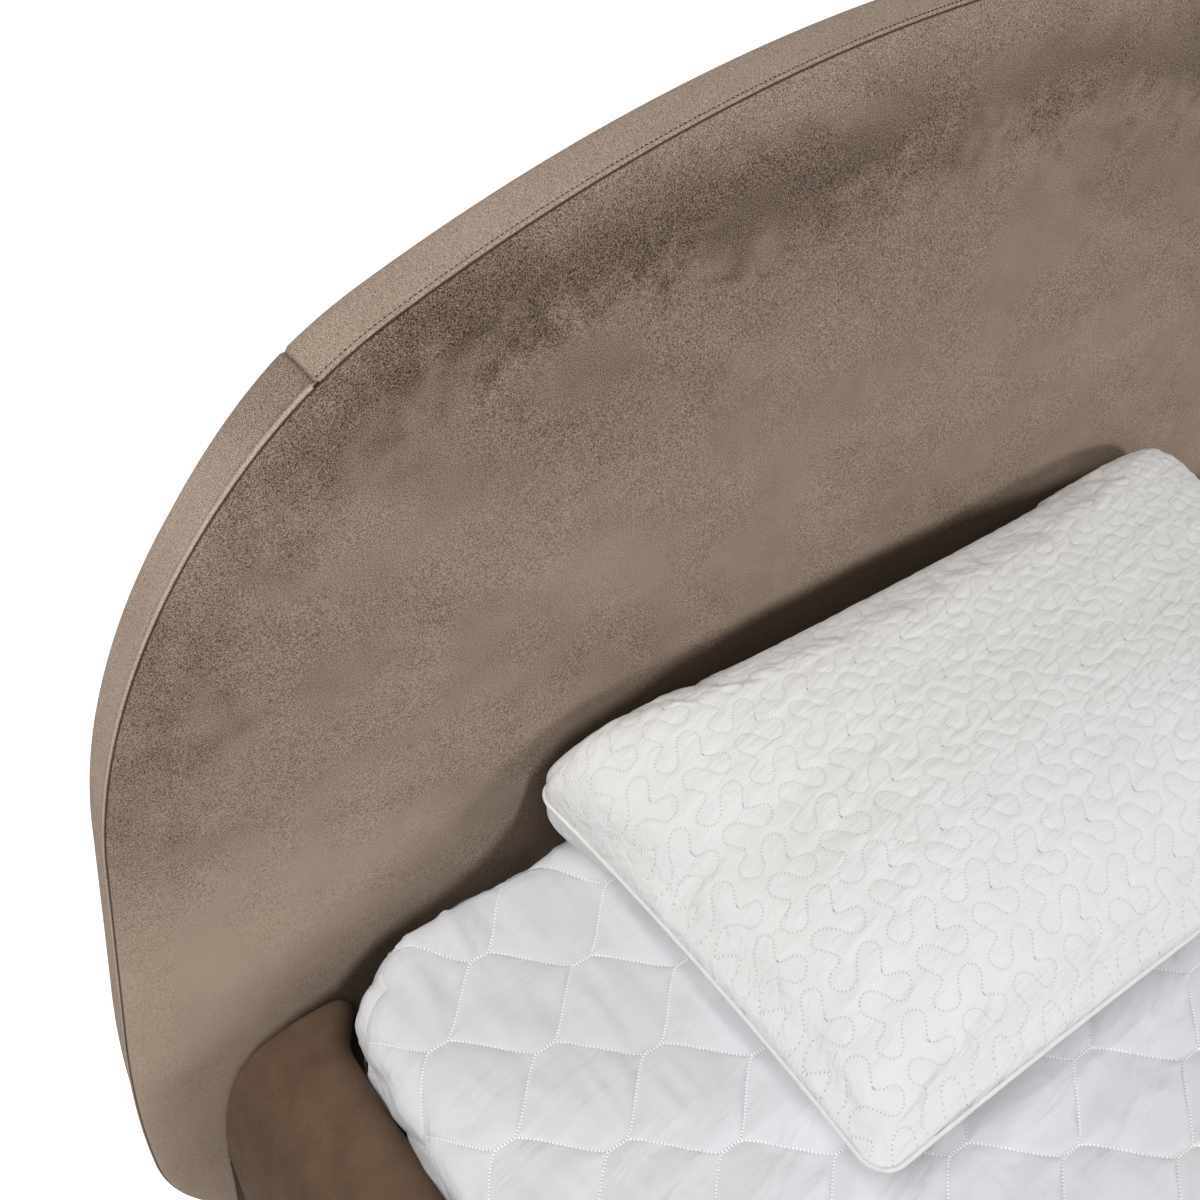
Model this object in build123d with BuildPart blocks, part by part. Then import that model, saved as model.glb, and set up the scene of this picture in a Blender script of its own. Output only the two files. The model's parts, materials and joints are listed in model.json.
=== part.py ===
"""An upholstered bed with an arched headboard, padded rails, slats, a mattress and a pillow.

X runs across the bed, +Y points to the headboard and +Z up. The origin is on the floor,
under the middle of the whole bed. All sizes are in millimetres.
"""
from build123d import *
import math
import os

os.makedirs("parts", exist_ok=True)

# The mattress and the base that carries it
mattress_width = 1530.0
mattress_length = 2030.0
mattress_height = 250.0
mattress_corner_radius = 85.0
mattress_edge_radius = 38.0
mattress_cover_thickness = 12.0
mattress_core_bevel = 16.0
slat_top = 250.0
head_gap = 28.0
foot_gap = 12.0
side_gap = 6.0

# The headboard
headboard_reach = 66.0
headboard_height = 1254.0
headboard_thickness = 75.0
headboard_bottom = 55.0
headboard_corner_radius = 240.0
back_edge_radius = 30.0
pad_crown = 13.0
pad_roll = 34.0
pad_seam_step = 1.0
pad_roll_radius = 80.0
front_foam_depth = 22.0
edge_foam_thickness = 20.0
panel_thickness = 6.0
frame_back_gap = 1.5
perimeter_width = 60.0
post_width = 80.0
cross_rail_height = 100.0
cross_rail_rise = 20.0
band_turn_in = 50.0
# Where the outline passes, as shares of the half width and of the height, with its fall there
outline_shares = (
    (0.618, 0.916, 0.282),
    (0.742, 0.861, 0.639),
    (0.944, 0.589, 4.810),
)
cross_seam_shares = (0.688, 0.892)
wedge_reach_share = 1.4
upper_cross_rail_share = 0.56

# The padded rails along the sides and across the foot
rail_thickness = 118.0
rail_top = 430.0
rail_bottom = 60.0
rail_edge_radius = 12.0
rail_flat = 18.0
rail_round_height = 170.0
rail_lower_radius = 40.0
rail_foam_thickness = 20.0
rail_wadding = 5.0
rail_board_thickness = 18.0
core_bevel_width = 52.0
core_bevel_height = 86.0
rib_thickness = 18.0
rib_count = 6
foot_inner_radius = 60.0
foot_return = 90.0

# Cloth, clearances and the overrun of cuts
cover_thickness = 2.0
seat = 0.3
butt_gap = 0.6
overrun = 5.0

# Slats and what they lie on
slat_count = 13
slat_width = 80.0
slat_thickness = 18.0
slat_end_gap = 3.0
slat_margin = 60.0
ledge_width = 30.0
ledge_height = 30.0
beam_width = 45.0
beam_height = 70.0
hanger_thickness = 3.0
hanger_depth = 50.0
hanger_flange = 30.0
centre_leg_radius = 20.0
centre_leg_shares = (-0.3, 0.0, 0.3)

# Legs under the rails and the headboard
foot_leg_width = 56.0
headboard_leg_width = 36.0
leg_bevel = 4.0
headboard_leg_inset = 75.0
glide_margin = 5.0
glide_height = 5.0

# Steel plates and bolts that join the rails
plate_thickness = 4.0
plate_height = 90.0
plate_drop = 12.0
bracket_reach = 60.0
bracket_length = 80.0
joining_plate_length = 150.0
bolt_radius = 4.0
bolt_head_radius = 8.0
bolt_head_height = 4.0
bolt_head_sides = 6
bolt_clearance = 0.3
bolt_rise_shares = (0.22, 0.78)
bolt_grip = 14.0
post_grip = 30.0

# The pillow
pillow_length = 900.0
pillow_width = 480.0
pillow_height = 180.0
pillow_seam_rise = 72.0
pillow_offset = -45.0
pillow_head_gap = 20.0
pillow_corner_radius = 30.0
pillow_draw_in = 12.0
pillow_lean_share = 0.5
# Each level of the pillow: its height as a share of the part above or below the seam,
# and how far it is drawn in as a share of the half width
pillow_level_shares = (
    (-1.0, 0.34),
    (-0.88, 0.20),
    (-0.66, 0.10),
    (-0.34, 0.03),
    (0.0, 0.0),
    (0.34, 0.03),
    (0.64, 0.11),
    (0.84, 0.22),
    (0.96, 0.38),
    (1.0, 0.60),
)

# Places that follow from the sizes
overall_length = headboard_thickness + head_gap + mattress_length + foot_gap + rail_thickness
back_y = overall_length / 2
seam_y = back_y - headboard_thickness
pad_y = seam_y - pad_crown
rail_head_y = pad_y - seat
mattress_head_y = seam_y - head_gap
mattress_y = mattress_head_y - mattress_length / 2
foot_inner_y = mattress_head_y - mattress_length - foot_gap
return_y = foot_inner_y + foot_inner_radius + foot_return
rail_foot_y = return_y + butt_gap
inner_x = mattress_width / 2 + side_gap
outer_x = inner_x + rail_thickness
half_width = outer_x + headboard_reach
core_inner_x = inner_x + cover_thickness + rail_wadding
core_outer_x = outer_x - cover_thickness - rail_foam_thickness
core_bottom = rail_bottom + cover_thickness + rail_wadding
core_top = rail_top - cover_thickness - rail_foam_thickness
frame_inset = cover_thickness + edge_foam_thickness
frame_front_y = seam_y + front_foam_depth + panel_thickness
frame_back_y = back_y - cover_thickness - frame_back_gap
frame_depth = frame_back_y - frame_front_y
frame_bottom = headboard_bottom + frame_inset
slat_bottom = slat_top - slat_thickness
beam_bottom = slat_bottom - beam_height
ledge_x = inner_x - ledge_width / 2
plate_top = slat_bottom - ledge_height - plate_drop
plate_bottom = plate_top - plate_height
post_x = inner_x - bracket_reach / 2
bolt_rises = [plate_bottom + share * plate_height for share in bolt_rise_shares]
headboard_leg_x = half_width - headboard_corner_radius - headboard_leg_inset
headboard_leg_y = (frame_front_y + frame_back_y) / 2
foot_leg_x = inner_x + rail_thickness / 2
foot_leg_y = return_y - foot_return / 2
SIDES = (("left", -1), ("right", 1))


def keep(piece, name):
    """Label a finished piece and write it."""
    piece.part.label = name
    export_step(piece.part, f"parts/{name}.step")


def facing(y):
    """The upright plane at y that faces the foot of the bed, with X across it and Z up it."""
    return Plane(origin=(0, y, 0), x_dir=(1, 0, 0), z_dir=(0, -1, 0))


def two_arcs(start, start_way, end, end_way):
    """Draw two tangent arcs from start to end that leave and arrive in the given directions."""
    first, last = Vector(*start), Vector(*end)
    leaving, arriving = Vector(*start_way).normalized(), Vector(*end_way).normalized()
    chord = last - first
    spread = 2 * (1 - leaving.dot(arriving))
    along = chord.dot(leaving + arriving)
    reach = (math.sqrt(along**2 + spread * chord.dot(chord)) - along) / spread
    near = first + leaving * reach
    far = last - arriving * reach
    middle = (near + far) / 2
    TangentArc(first, middle, tangent=leaving)
    TangentArc(middle, last, tangent=far - near)


def headboard_face(inset, y):
    """The arched outline of the headboard, drawn in all round by inset, at y."""
    with BuildSketch(facing(y)) as outline:
        with BuildLine():
            place, way = (0, headboard_height), (1, 0)
            for x_share, z_share, fall_share in outline_shares:
                following = (x_share * half_width, z_share * headboard_height)
                next_way = (half_width, -fall_share * headboard_height)
                two_arcs(place, way, following, next_way)
                place, way = following, next_way
            widest = (half_width, headboard_bottom + headboard_corner_radius)
            corner_end = (half_width - headboard_corner_radius, headboard_bottom)
            two_arcs(place, way, widest, (0, -1))
            TangentArc(widest, corner_end, tangent=(0, -1))
            Line(corner_end, (0, headboard_bottom))
            mirror(about=Plane.YZ)
        make_face()
        if inset:
            offset(amount=-inset)
    return outline.sketch


def headboard_block(inset):
    """The whole headboard behind its front seam, with a rounded back edge."""
    with BuildPart() as block:
        extrude(headboard_face(inset, back_y - inset), amount=headboard_thickness - inset)
        fillet(block.faces().sort_by(Axis.Y)[-1].edges(), back_edge_radius - inset)
    return block.part


def headboard_pad(inset):
    """The crowned pad in front of the seam: its surface rolls back into the seam."""
    depth = pad_crown - inset
    with BuildPart() as pad:
        extrude(headboard_face(inset, seam_y), amount=depth)
        front = pad.faces().sort_by(Axis.Y)[0]
        chamfer(front.edges(), length=pad_roll, length2=depth - pad_seam_step, reference=front)
        fillet(pad.faces().sort_by(Axis.Y)[0].edges(), pad_roll_radius)
    return pad.part


def cut_bolt_holes(places, start_y, depth):
    """Cut holes for bolts that run along Y, from start_y towards the headboard."""
    with BuildSketch(facing(start_y)) as holes:
        with Locations(*places):
            Circle(bolt_radius + bolt_clearance)
    extrude(holes.sketch, amount=-depth, mode=Mode.SUBTRACT)


def head_bolt_places():
    """X and Z of the bolts that hold the rail brackets to the headboard."""
    return [(side * post_x, z) for _, side in SIDES for z in bolt_rises]


def make_headboard_timber():
    """The timber inside the headboard: perimeter, two posts, cross rails and the front panel."""
    panel_reach = pad_crown + front_foam_depth + panel_thickness
    with BuildPart() as perimeter:
        extrude(headboard_face(frame_inset, frame_back_y), amount=frame_depth)
        opening = headboard_face(frame_inset + perimeter_width, frame_back_y)
        extrude(opening, amount=frame_depth, mode=Mode.SUBTRACT)
        cut_bolt_holes(head_bolt_places(), pad_y, panel_reach + post_grip)
    keep(perimeter, "headboard_perimeter")
    for name, side in SIDES:
        with BuildPart() as post:
            with BuildSketch(facing(frame_back_y)):
                with Locations((side * post_x, headboard_height / 2)):
                    Rectangle(post_width, headboard_height)
            extrude(amount=frame_depth)
            inside = headboard_face(frame_inset + perimeter_width, frame_back_y)
            extrude(inside, amount=frame_depth, mode=Mode.INTERSECT)
            cut_bolt_holes(head_bolt_places(), pad_y, panel_reach + post_grip)
        keep(post, f"headboard_post_{name}")
    with BuildPart() as cross_rails:
        low = frame_bottom + perimeter_width + cross_rail_rise + cross_rail_height / 2
        high = upper_cross_rail_share * headboard_height
        with BuildSketch(facing(frame_back_y)):
            with Locations((0, low), (0, high)):
                Rectangle(2 * post_x - post_width, cross_rail_height)
        extrude(amount=frame_depth)
    keep(cross_rails, "headboard_cross_rails")
    with BuildPart() as panel:
        extrude(headboard_face(frame_inset, frame_front_y), amount=panel_thickness)
        cut_bolt_holes(head_bolt_places(), pad_y, panel_reach)
    keep(panel, "headboard_panel")


def cut_headboard_legs():
    """Cut the openings that the two headboard legs pass through."""
    with BuildSketch(Plane.XY.offset(headboard_bottom - overrun)) as holes:
        with Locations((-headboard_leg_x, headboard_leg_y), (headboard_leg_x, headboard_leg_y)):
            Rectangle(headboard_leg_width + 2 * seat, headboard_leg_width + 2 * seat)
    extrude(holes.sketch, amount=frame_inset + overrun, mode=Mode.SUBTRACT)


def make_headboard_foam():
    """The foam of the front and the foam round the edge."""
    with BuildPart() as front_foam:
        add(headboard_pad(cover_thickness))
        extrude(headboard_face(cover_thickness, seam_y + front_foam_depth), amount=front_foam_depth)
        cut_bolt_holes(head_bolt_places(), pad_y, pad_crown + front_foam_depth)
    keep(front_foam, "headboard_front_foam")
    with BuildPart() as edge_foam:
        add(headboard_block(cover_thickness))
        front = headboard_face(0, seam_y + front_foam_depth)
        extrude(front, amount=front_foam_depth + overrun, mode=Mode.SUBTRACT)
        inside = headboard_face(frame_inset, back_y)
        extrude(inside, amount=headboard_thickness, mode=Mode.SUBTRACT)
        cut_headboard_legs()
    keep(edge_foam, "headboard_edge_foam")


def make_headboard_covers():
    """The cloth: the front panel, the band round the edge in three lengths, and the back."""
    with BuildPart() as front_cover:
        add(headboard_pad(0))
        add(headboard_pad(cover_thickness), mode=Mode.SUBTRACT)
        cut_bolt_holes(head_bolt_places(), pad_y, pad_crown)
    keep(front_cover, "headboard_front_cover")

    with BuildPart() as band:
        add(headboard_block(0))
        add(headboard_block(cover_thickness), mode=Mode.SUBTRACT)
        extrude(headboard_face(band_turn_in, back_y), amount=headboard_thickness, mode=Mode.SUBTRACT)
        cut_headboard_legs()
    middle_z = headboard_height / 2
    seam_x = wedge_reach_share * cross_seam_shares[0] * half_width
    seam_z = middle_z + wedge_reach_share * (cross_seam_shares[1] * headboard_height - middle_z)
    with BuildPart() as wedge:
        with BuildSketch(facing(back_y)):
            Polygon((0, middle_z), (seam_x, seam_z), (-seam_x, seam_z), align=None)
        extrude(amount=headboard_thickness)
    with BuildPart() as top_band:
        add(band.part)
        add(wedge.part, mode=Mode.INTERSECT)
    keep(top_band, "headboard_top_band")
    for name, side in SIDES:
        with BuildPart() as side_band:
            add(band.part)
            add(wedge.part, mode=Mode.SUBTRACT)
            split(bisect_by=Plane.YZ, keep=Keep.TOP if side > 0 else Keep.BOTTOM)
        keep(side_band, f"headboard_side_band_{name}")
    with BuildPart() as back_cover:
        extrude(headboard_face(band_turn_in + seat, back_y), amount=cover_thickness)
    keep(back_cover, "headboard_back_cover")


def rail_face(side, inset, y):
    """The rounded section of a padded rail on one side of the bed, drawn in by inset, at y."""
    low_inner = (side * inner_x, rail_bottom + rail_edge_radius)
    high_inner = (side * inner_x, rail_top - rail_edge_radius)
    top_inner = (side * (inner_x + rail_edge_radius), rail_top)
    top_outer = (side * (inner_x + rail_flat), rail_top)
    high_outer = (side * outer_x, rail_top - rail_round_height)
    low_outer = (side * outer_x, rail_bottom + rail_lower_radius)
    bottom_outer = (side * (outer_x - rail_lower_radius), rail_bottom)
    bottom_inner = (side * (inner_x + rail_edge_radius), rail_bottom)
    with BuildSketch(facing(y)) as section:
        with BuildLine():
            Line(low_inner, high_inner)
            TangentArc(high_inner, top_inner, tangent=(0, 1))
            Line(top_inner, top_outer)
            two_arcs(top_outer, (side, 0), high_outer, (0, -1))
            Line(high_outer, low_outer)
            TangentArc(low_outer, bottom_outer, tangent=(0, -1))
            Line(bottom_outer, bottom_inner)
            TangentArc(bottom_inner, low_inner, tangent=(-side, 0))
        make_face()
        if inset:
            offset(amount=-inset)
    return section.sketch


def core_face(side, inset, y):
    """The bevelled section of the timber core inside a rail, drawn in by inset, at y."""
    corners = (
        (core_inner_x, core_bottom),
        (core_outer_x, core_bottom),
        (core_outer_x, core_top - core_bevel_height),
        (core_outer_x - core_bevel_width, core_top),
        (core_inner_x, core_top),
    )
    with BuildSketch(facing(y)) as section:
        with BuildLine():
            Polyline(*[(side * x, z) for x, z in corners], close=True)
        make_face()
        if inset:
            offset(amount=-inset, kind=Kind.INTERSECTION)
    return section.sketch


def side_plane(side, x):
    """The upright plane at x that faces outwards on one side, with Y across it."""
    return Plane(origin=(x, 0, 0), x_dir=(0, 1, 0), z_dir=(side, 0, 0))


def cut_side_holes(side, ys, depth):
    """Cut holes for bolts that run outwards along X from the inner face of a rail."""
    with BuildSketch(side_plane(side, side * inner_x)) as holes:
        with Locations(*[(y, side * z) for y in ys for z in bolt_rises]):
            Circle(bolt_radius + bolt_clearance)
    extrude(holes.sketch, amount=depth, mode=Mode.SUBTRACT)


def side_bolt_ys():
    """Y of the bolts into a side rail, at the head bracket and at the joining plate."""
    return (rail_head_y - bracket_length / 2, rail_foot_y + joining_plate_length / 4)


def make_side_rail(name, side):
    """One side rail: two boards, ribs between them, foam, cover and the slat ledge."""
    length = rail_head_y - rail_foot_y
    hole_depth = cover_thickness + rail_wadding + bolt_grip
    inner_middle = core_inner_x + rail_board_thickness / 2
    with BuildPart() as inner_board:
        with BuildSketch(facing(rail_head_y)):
            with Locations((side * inner_middle, (core_bottom + core_top) / 2)):
                Rectangle(rail_board_thickness, core_top - core_bottom)
        extrude(amount=length)
        cut_side_holes(side, side_bolt_ys(), hole_depth)
    keep(inner_board, f"rail_inner_board_{name}")

    outer_top = core_top - core_bevel_height
    outer_middle = core_outer_x - rail_board_thickness / 2
    with BuildPart() as outer_board:
        with BuildSketch(facing(rail_head_y)):
            with Locations((side * outer_middle, (core_bottom + outer_top) / 2)):
                Rectangle(rail_board_thickness, outer_top - core_bottom)
        extrude(amount=length)
    keep(outer_board, f"rail_outer_board_{name}")

    pitch = (length - rib_thickness) / (rib_count - 1)
    middle = (core_inner_x + core_outer_x) / 2
    between = core_outer_x - core_inner_x - 2 * rail_board_thickness
    with BuildPart() as ribs:
        for index in range(rib_count):
            extrude(core_face(side, 0, rail_head_y - index * pitch), amount=rib_thickness)
        with BuildSketch(facing(rail_head_y)):
            with Locations((side * middle, (core_bottom + core_top) / 2)):
                Rectangle(between, core_top - core_bottom)
        extrude(amount=length, mode=Mode.INTERSECT)
    keep(ribs, f"rail_ribs_{name}")

    with BuildPart() as foam:
        extrude(rail_face(side, cover_thickness, rail_head_y), amount=length)
        extrude(core_face(side, 0, rail_head_y), amount=length, mode=Mode.SUBTRACT)
        cut_side_holes(side, side_bolt_ys(), hole_depth)
    keep(foam, f"rail_foam_{name}")

    with BuildPart() as cover:
        extrude(rail_face(side, 0, rail_head_y), amount=length)
        extrude(rail_face(side, cover_thickness, rail_head_y), amount=length, mode=Mode.SUBTRACT)
        cut_side_holes(side, side_bolt_ys(), hole_depth)
    keep(cover, f"rail_cover_{name}")

    with BuildPart() as ledge:
        with BuildSketch(facing(rail_head_y)):
            with Locations((side * ledge_x, slat_bottom - ledge_height / 2)):
                Rectangle(ledge_width, ledge_height)
        extrude(amount=rail_head_y - foot_inner_y - foot_inner_radius)
    keep(ledge, f"slat_ledge_{name}")


def foot_path():
    """The inner face of the foot rail from above: across the foot and back along both sides."""
    with BuildLine() as path:
        FilletPolyline(
            (-inner_x, return_y),
            (-inner_x, foot_inner_y),
            (inner_x, foot_inner_y),
            (inner_x, return_y),
            radius=foot_inner_radius,
        )
    return path.wire()


def cut_foot_legs():
    """Cut the openings that the two foot legs pass through."""
    with BuildSketch(Plane.XY.offset(rail_bottom - overrun)) as holes:
        with Locations((-foot_leg_x, foot_leg_y), (foot_leg_x, foot_leg_y)):
            Rectangle(foot_leg_width + 2 * seat, foot_leg_width + 2 * seat)
    extrude(holes.sketch, amount=core_bottom - rail_bottom + overrun, mode=Mode.SUBTRACT)


def foot_bolt_y():
    """Y of the bolts that hold the joining plates to the foot rail."""
    return return_y - joining_plate_length / 4


def make_foot_rail():
    """The foot rail: a hollow bent core, foam and cover, swept round both corners."""
    hole_depth = cover_thickness + rail_wadding + bolt_grip
    with BuildPart() as core:
        sweep(core_face(-1, 0, return_y), path=foot_path())
        hollow = sweep(core_face(-1, rail_board_thickness, return_y), path=foot_path(), mode=Mode.PRIVATE)
        add(hollow, mode=Mode.SUBTRACT)
        for _, side in SIDES:
            cut_side_holes(side, (foot_bolt_y(),), hole_depth)
    keep(core, "foot_core")
    with BuildPart() as foam:
        sweep(rail_face(-1, cover_thickness, return_y), path=foot_path())
        inside = sweep(core_face(-1, 0, return_y), path=foot_path(), mode=Mode.PRIVATE)
        add(inside, mode=Mode.SUBTRACT)
        cut_foot_legs()
        for _, side in SIDES:
            cut_side_holes(side, (foot_bolt_y(),), hole_depth)
    keep(foam, "foot_foam")
    with BuildPart() as cover:
        sweep(rail_face(-1, 0, return_y), path=foot_path())
        inside = sweep(rail_face(-1, cover_thickness, return_y), path=foot_path(), mode=Mode.PRIVATE)
        add(inside, mode=Mode.SUBTRACT)
        cut_foot_legs()
        for _, side in SIDES:
            cut_side_holes(side, (foot_bolt_y(),), hole_depth)
    keep(cover, "foot_cover")


def make_slats():
    """The slats, laid across the ledges and the centre beam."""
    length = 2 * (inner_x - slat_end_gap)
    pitch = (mattress_length - 2 * slat_margin - slat_width) / (slat_count - 1)
    for index in range(slat_count):
        y = mattress_y + (index - (slat_count - 1) / 2) * pitch
        with BuildPart() as slat:
            with BuildSketch(Plane.XY.offset(slat_bottom)):
                with Locations((0, y)):
                    Rectangle(length, slat_width)
            extrude(amount=slat_thickness)
            fillet(slat.faces().sort_by(Axis.Z)[-1].edges().filter_by(Axis.X), slat_thickness / 6)
        keep(slat, f"slat_{index + 1:02d}")


def make_centre_support():
    """The beam under the slats, the hangers at its ends and its three legs."""
    beam_head_y = rail_head_y - hanger_thickness - seat
    beam_foot_y = foot_inner_y + hanger_thickness + 2 * seat
    with BuildPart() as beam:
        with BuildSketch(facing(beam_head_y)):
            with Locations((0, slat_bottom - beam_height / 2)):
                Rectangle(beam_width, beam_height)
        extrude(amount=beam_head_y - beam_foot_y)
    keep(beam, "centre_beam")

    stirrup_width = beam_width + 2 * (hanger_thickness + seat)
    stirrup_height = beam_height + hanger_thickness + seat - slat_thickness
    with BuildPart() as hangers:
        for back, way in ((rail_head_y, 1), (foot_inner_y + seat, -1)):
            low = beam_bottom - hanger_thickness - seat
            with BuildSketch(facing(back)):
                with Locations((0, low + stirrup_height / 2)):
                    Rectangle(stirrup_width + 2 * hanger_flange, stirrup_height)
            extrude(amount=way * hanger_thickness)
            with BuildSketch(facing(back)):
                with Locations((0, low + stirrup_height / 2)):
                    Rectangle(stirrup_width, stirrup_height)
                with Locations((0, beam_bottom - seat + stirrup_height / 2)):
                    Rectangle(beam_width + 2 * seat, stirrup_height, mode=Mode.SUBTRACT)
            extrude(amount=way * hanger_depth)
    keep(hangers, "beam_hangers")

    for index, share in enumerate(centre_leg_shares):
        with BuildPart() as leg:
            with Locations((0, mattress_y + share * mattress_length, glide_height)):
                bottom_up = (Align.CENTER, Align.CENTER, Align.MIN)
                Cylinder(centre_leg_radius, beam_bottom - glide_height, align=bottom_up)
        keep(leg, f"centre_leg_{index + 1}")


def make_timber_leg(name, place, width, top):
    """A square leg with a bevelled foot, from its glide up to the timber that it carries."""
    with BuildPart() as leg:
        with BuildSketch(Plane.XY.offset(glide_height)):
            with Locations(place):
                Rectangle(width, width)
        extrude(amount=top - glide_height)
        chamfer(leg.faces().sort_by(Axis.Z)[0].edges(), leg_bevel)
    keep(leg, name)


def make_legs():
    """The legs under the headboard and the foot rail, and the glides under every leg."""
    for name, side in SIDES:
        head_place = (side * headboard_leg_x, headboard_leg_y)
        foot_place = (side * foot_leg_x, foot_leg_y)
        make_timber_leg(f"headboard_leg_{name}", head_place, headboard_leg_width, frame_bottom)
        make_timber_leg(f"foot_leg_{name}", foot_place, foot_leg_width, core_bottom)
    with BuildPart() as glides:
        with BuildSketch() as pads:
            with Locations(*[(side * headboard_leg_x, headboard_leg_y) for _, side in SIDES]):
                Rectangle(headboard_leg_width - 2 * glide_margin, headboard_leg_width - 2 * glide_margin)
            with Locations(*[(side * foot_leg_x, foot_leg_y) for _, side in SIDES]):
                Rectangle(foot_leg_width - 2 * glide_margin, foot_leg_width - 2 * glide_margin)
            with Locations(*[(0, mattress_y + share * mattress_length) for share in centre_leg_shares]):
                Circle(centre_leg_radius - glide_margin)
        extrude(amount=glide_height)
    keep(glides, "leg_glides")


def make_brackets():
    """The angle brackets at the head and the joining plates near the foot."""
    middle_z = (plate_bottom + plate_top) / 2
    for name, side in SIDES:
        with BuildPart() as bracket:
            with BuildSketch(Plane(origin=(0, 0, plate_bottom))):
                with BuildLine():
                    inner = side * (inner_x - bracket_reach)
                    face = side * (inner_x - seat)
                    web = side * (inner_x - seat - plate_thickness)
                    Polyline(
                        (inner, rail_head_y),
                        (face, rail_head_y),
                        (face, rail_head_y - bracket_length),
                        (web, rail_head_y - bracket_length),
                        (web, rail_head_y - plate_thickness),
                        (inner, rail_head_y - plate_thickness),
                        close=True,
                    )
                make_face()
            extrude(amount=plate_height)
            cut_bolt_holes(head_bolt_places(), rail_head_y - plate_thickness, 2 * plate_thickness)
            cut_plate_holes(side, side_bolt_ys()[:1])
        keep(bracket, f"head_bracket_{name}")
        with BuildPart() as plate:
            centre = (side * (inner_x - seat - plate_thickness / 2), return_y + butt_gap / 2, middle_z)
            with Locations(centre):
                Box(plate_thickness, joining_plate_length, plate_height)
            cut_plate_holes(side, (side_bolt_ys()[1], foot_bolt_y()))
        keep(plate, f"joining_plate_{name}")


def cut_plate_holes(side, ys):
    """Cut the bolt holes through a plate on the inner face of a rail."""
    with BuildSketch(side_plane(side, side * (inner_x - plate_thickness - overrun))) as holes:
        with Locations(*[(y, side * z) for y in ys for z in bolt_rises]):
            Circle(bolt_radius + bolt_clearance)
    extrude(holes.sketch, amount=plate_thickness + overrun, mode=Mode.SUBTRACT)


def add_bolts(plane, places, length):
    """Bolts whose heads rest on a plane and whose shanks run along its normal."""
    with BuildSketch(plane) as shanks:
        with Locations(*places):
            Circle(bolt_radius)
    extrude(shanks.sketch, amount=length)
    with BuildSketch(plane) as heads:
        with Locations(*places):
            RegularPolygon(bolt_head_radius, bolt_head_sides)
    extrude(heads.sketch, amount=-bolt_head_height)


def make_bolts():
    """The long bolts into the headboard posts and the short ones into the rails."""
    post_length = plate_thickness + pad_crown + front_foam_depth + panel_thickness + post_grip
    with BuildPart() as long_bolts:
        head_plane = Plane(origin=(0, rail_head_y - plate_thickness, 0), x_dir=(1, 0, 0), z_dir=(0, 1, 0))
        add_bolts(head_plane, [(x, -z) for x, z in head_bolt_places()], post_length)
    keep(long_bolts, "headboard_bolts")

    rail_length = plate_thickness + cover_thickness + rail_wadding + bolt_grip
    with BuildPart() as short_bolts:
        for _, side in SIDES:
            head_plane = side_plane(side, side * (inner_x - seat - plate_thickness))
            ys = (*side_bolt_ys(), foot_bolt_y())
            add_bolts(head_plane, [(y, side * z) for y in ys for z in bolt_rises], rail_length)
    keep(short_bolts, "rail_bolts")


def mattress_block(inset):
    """The mattress with rounded corners in plan, drawn in all round by inset."""
    with BuildPart() as block:
        with BuildSketch(Plane.XY.offset(slat_top + seat + inset)):
            with Locations((0, mattress_y)):
                RectangleRounded(
                    mattress_width - 2 * inset,
                    mattress_length - 2 * inset,
                    mattress_corner_radius - inset,
                )
        extrude(amount=mattress_height - 2 * inset)
    return block.part


def make_mattress():
    """The mattress core, bevelled along its rims, inside its rounded quilted cover."""
    with BuildPart() as core:
        add(mattress_block(mattress_cover_thickness))
        chamfer(core.faces().filter_by(Axis.Z).edges(), mattress_core_bevel)
    keep(core, "mattress_core")
    with BuildPart() as cover:
        add(mattress_block(0))
        fillet(cover.faces().filter_by(Axis.Z).edges(), mattress_edge_radius)
        add(core.part, mode=Mode.SUBTRACT)
    keep(cover, "mattress_cover")


def pillow_face(z, inset, lean):
    """One level of the pillow, leaning to the headboard: sides drawn in between the corners."""
    across = pillow_length / 2 - inset
    along = pillow_width / 2 - inset
    centre_y = seam_y - pillow_head_gap - pillow_width / 2 + lean
    with BuildSketch(Plane(origin=(pillow_offset, centre_y, z))) as level:
        with BuildLine():
            ThreePointArc((-across, -along), (0, pillow_draw_in - along), (across, -along))
            ThreePointArc((across, -along), (across - pillow_draw_in, 0), (across, along))
            ThreePointArc((across, along), (0, along - pillow_draw_in), (-across, along))
            ThreePointArc((-across, along), (pillow_draw_in - across, 0), (-across, -along))
        make_face()
        fillet(level.vertices(), pillow_corner_radius)
    return level.sketch


def make_pillow():
    """The pillow, lofted through its levels from where it lies to its crown."""
    bottom = slat_top + mattress_height + 2 * seat
    seam_z = bottom + pillow_seam_rise
    above = pillow_height - pillow_seam_rise
    with BuildPart() as pillow:
        levels = []
        for height_share, inset_share in pillow_level_shares:
            room = above if height_share > 0 else pillow_seam_rise
            inset = inset_share * pillow_width / 2
            lean = pillow_lean_share * inset if height_share > 0 else 0.0
            levels.append(pillow_face(seam_z + height_share * room, inset, lean))
        loft(levels, ruled=True)
    keep(pillow, "pillow")


make_headboard_timber()
make_headboard_foam()
make_headboard_covers()
for rail_name, rail_side in SIDES:
    make_side_rail(rail_name, rail_side)
make_foot_rail()
make_slats()
make_centre_support()
make_legs()
make_brackets()
make_bolts()
make_mattress()
make_pillow()
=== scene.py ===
# %% [markdown]
# # An upholstered bed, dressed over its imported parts
# The bed has an arched velvet headboard, thick padded rails, a slatted base, a quilted
# mattress and one long quilted pillow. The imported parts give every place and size, and this
# file adds what cloth does on them. They could be painted as they are, but a pad looks soft
# only when its surface swells, rolls into its seams and creases, so each soft part is made new.

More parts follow.
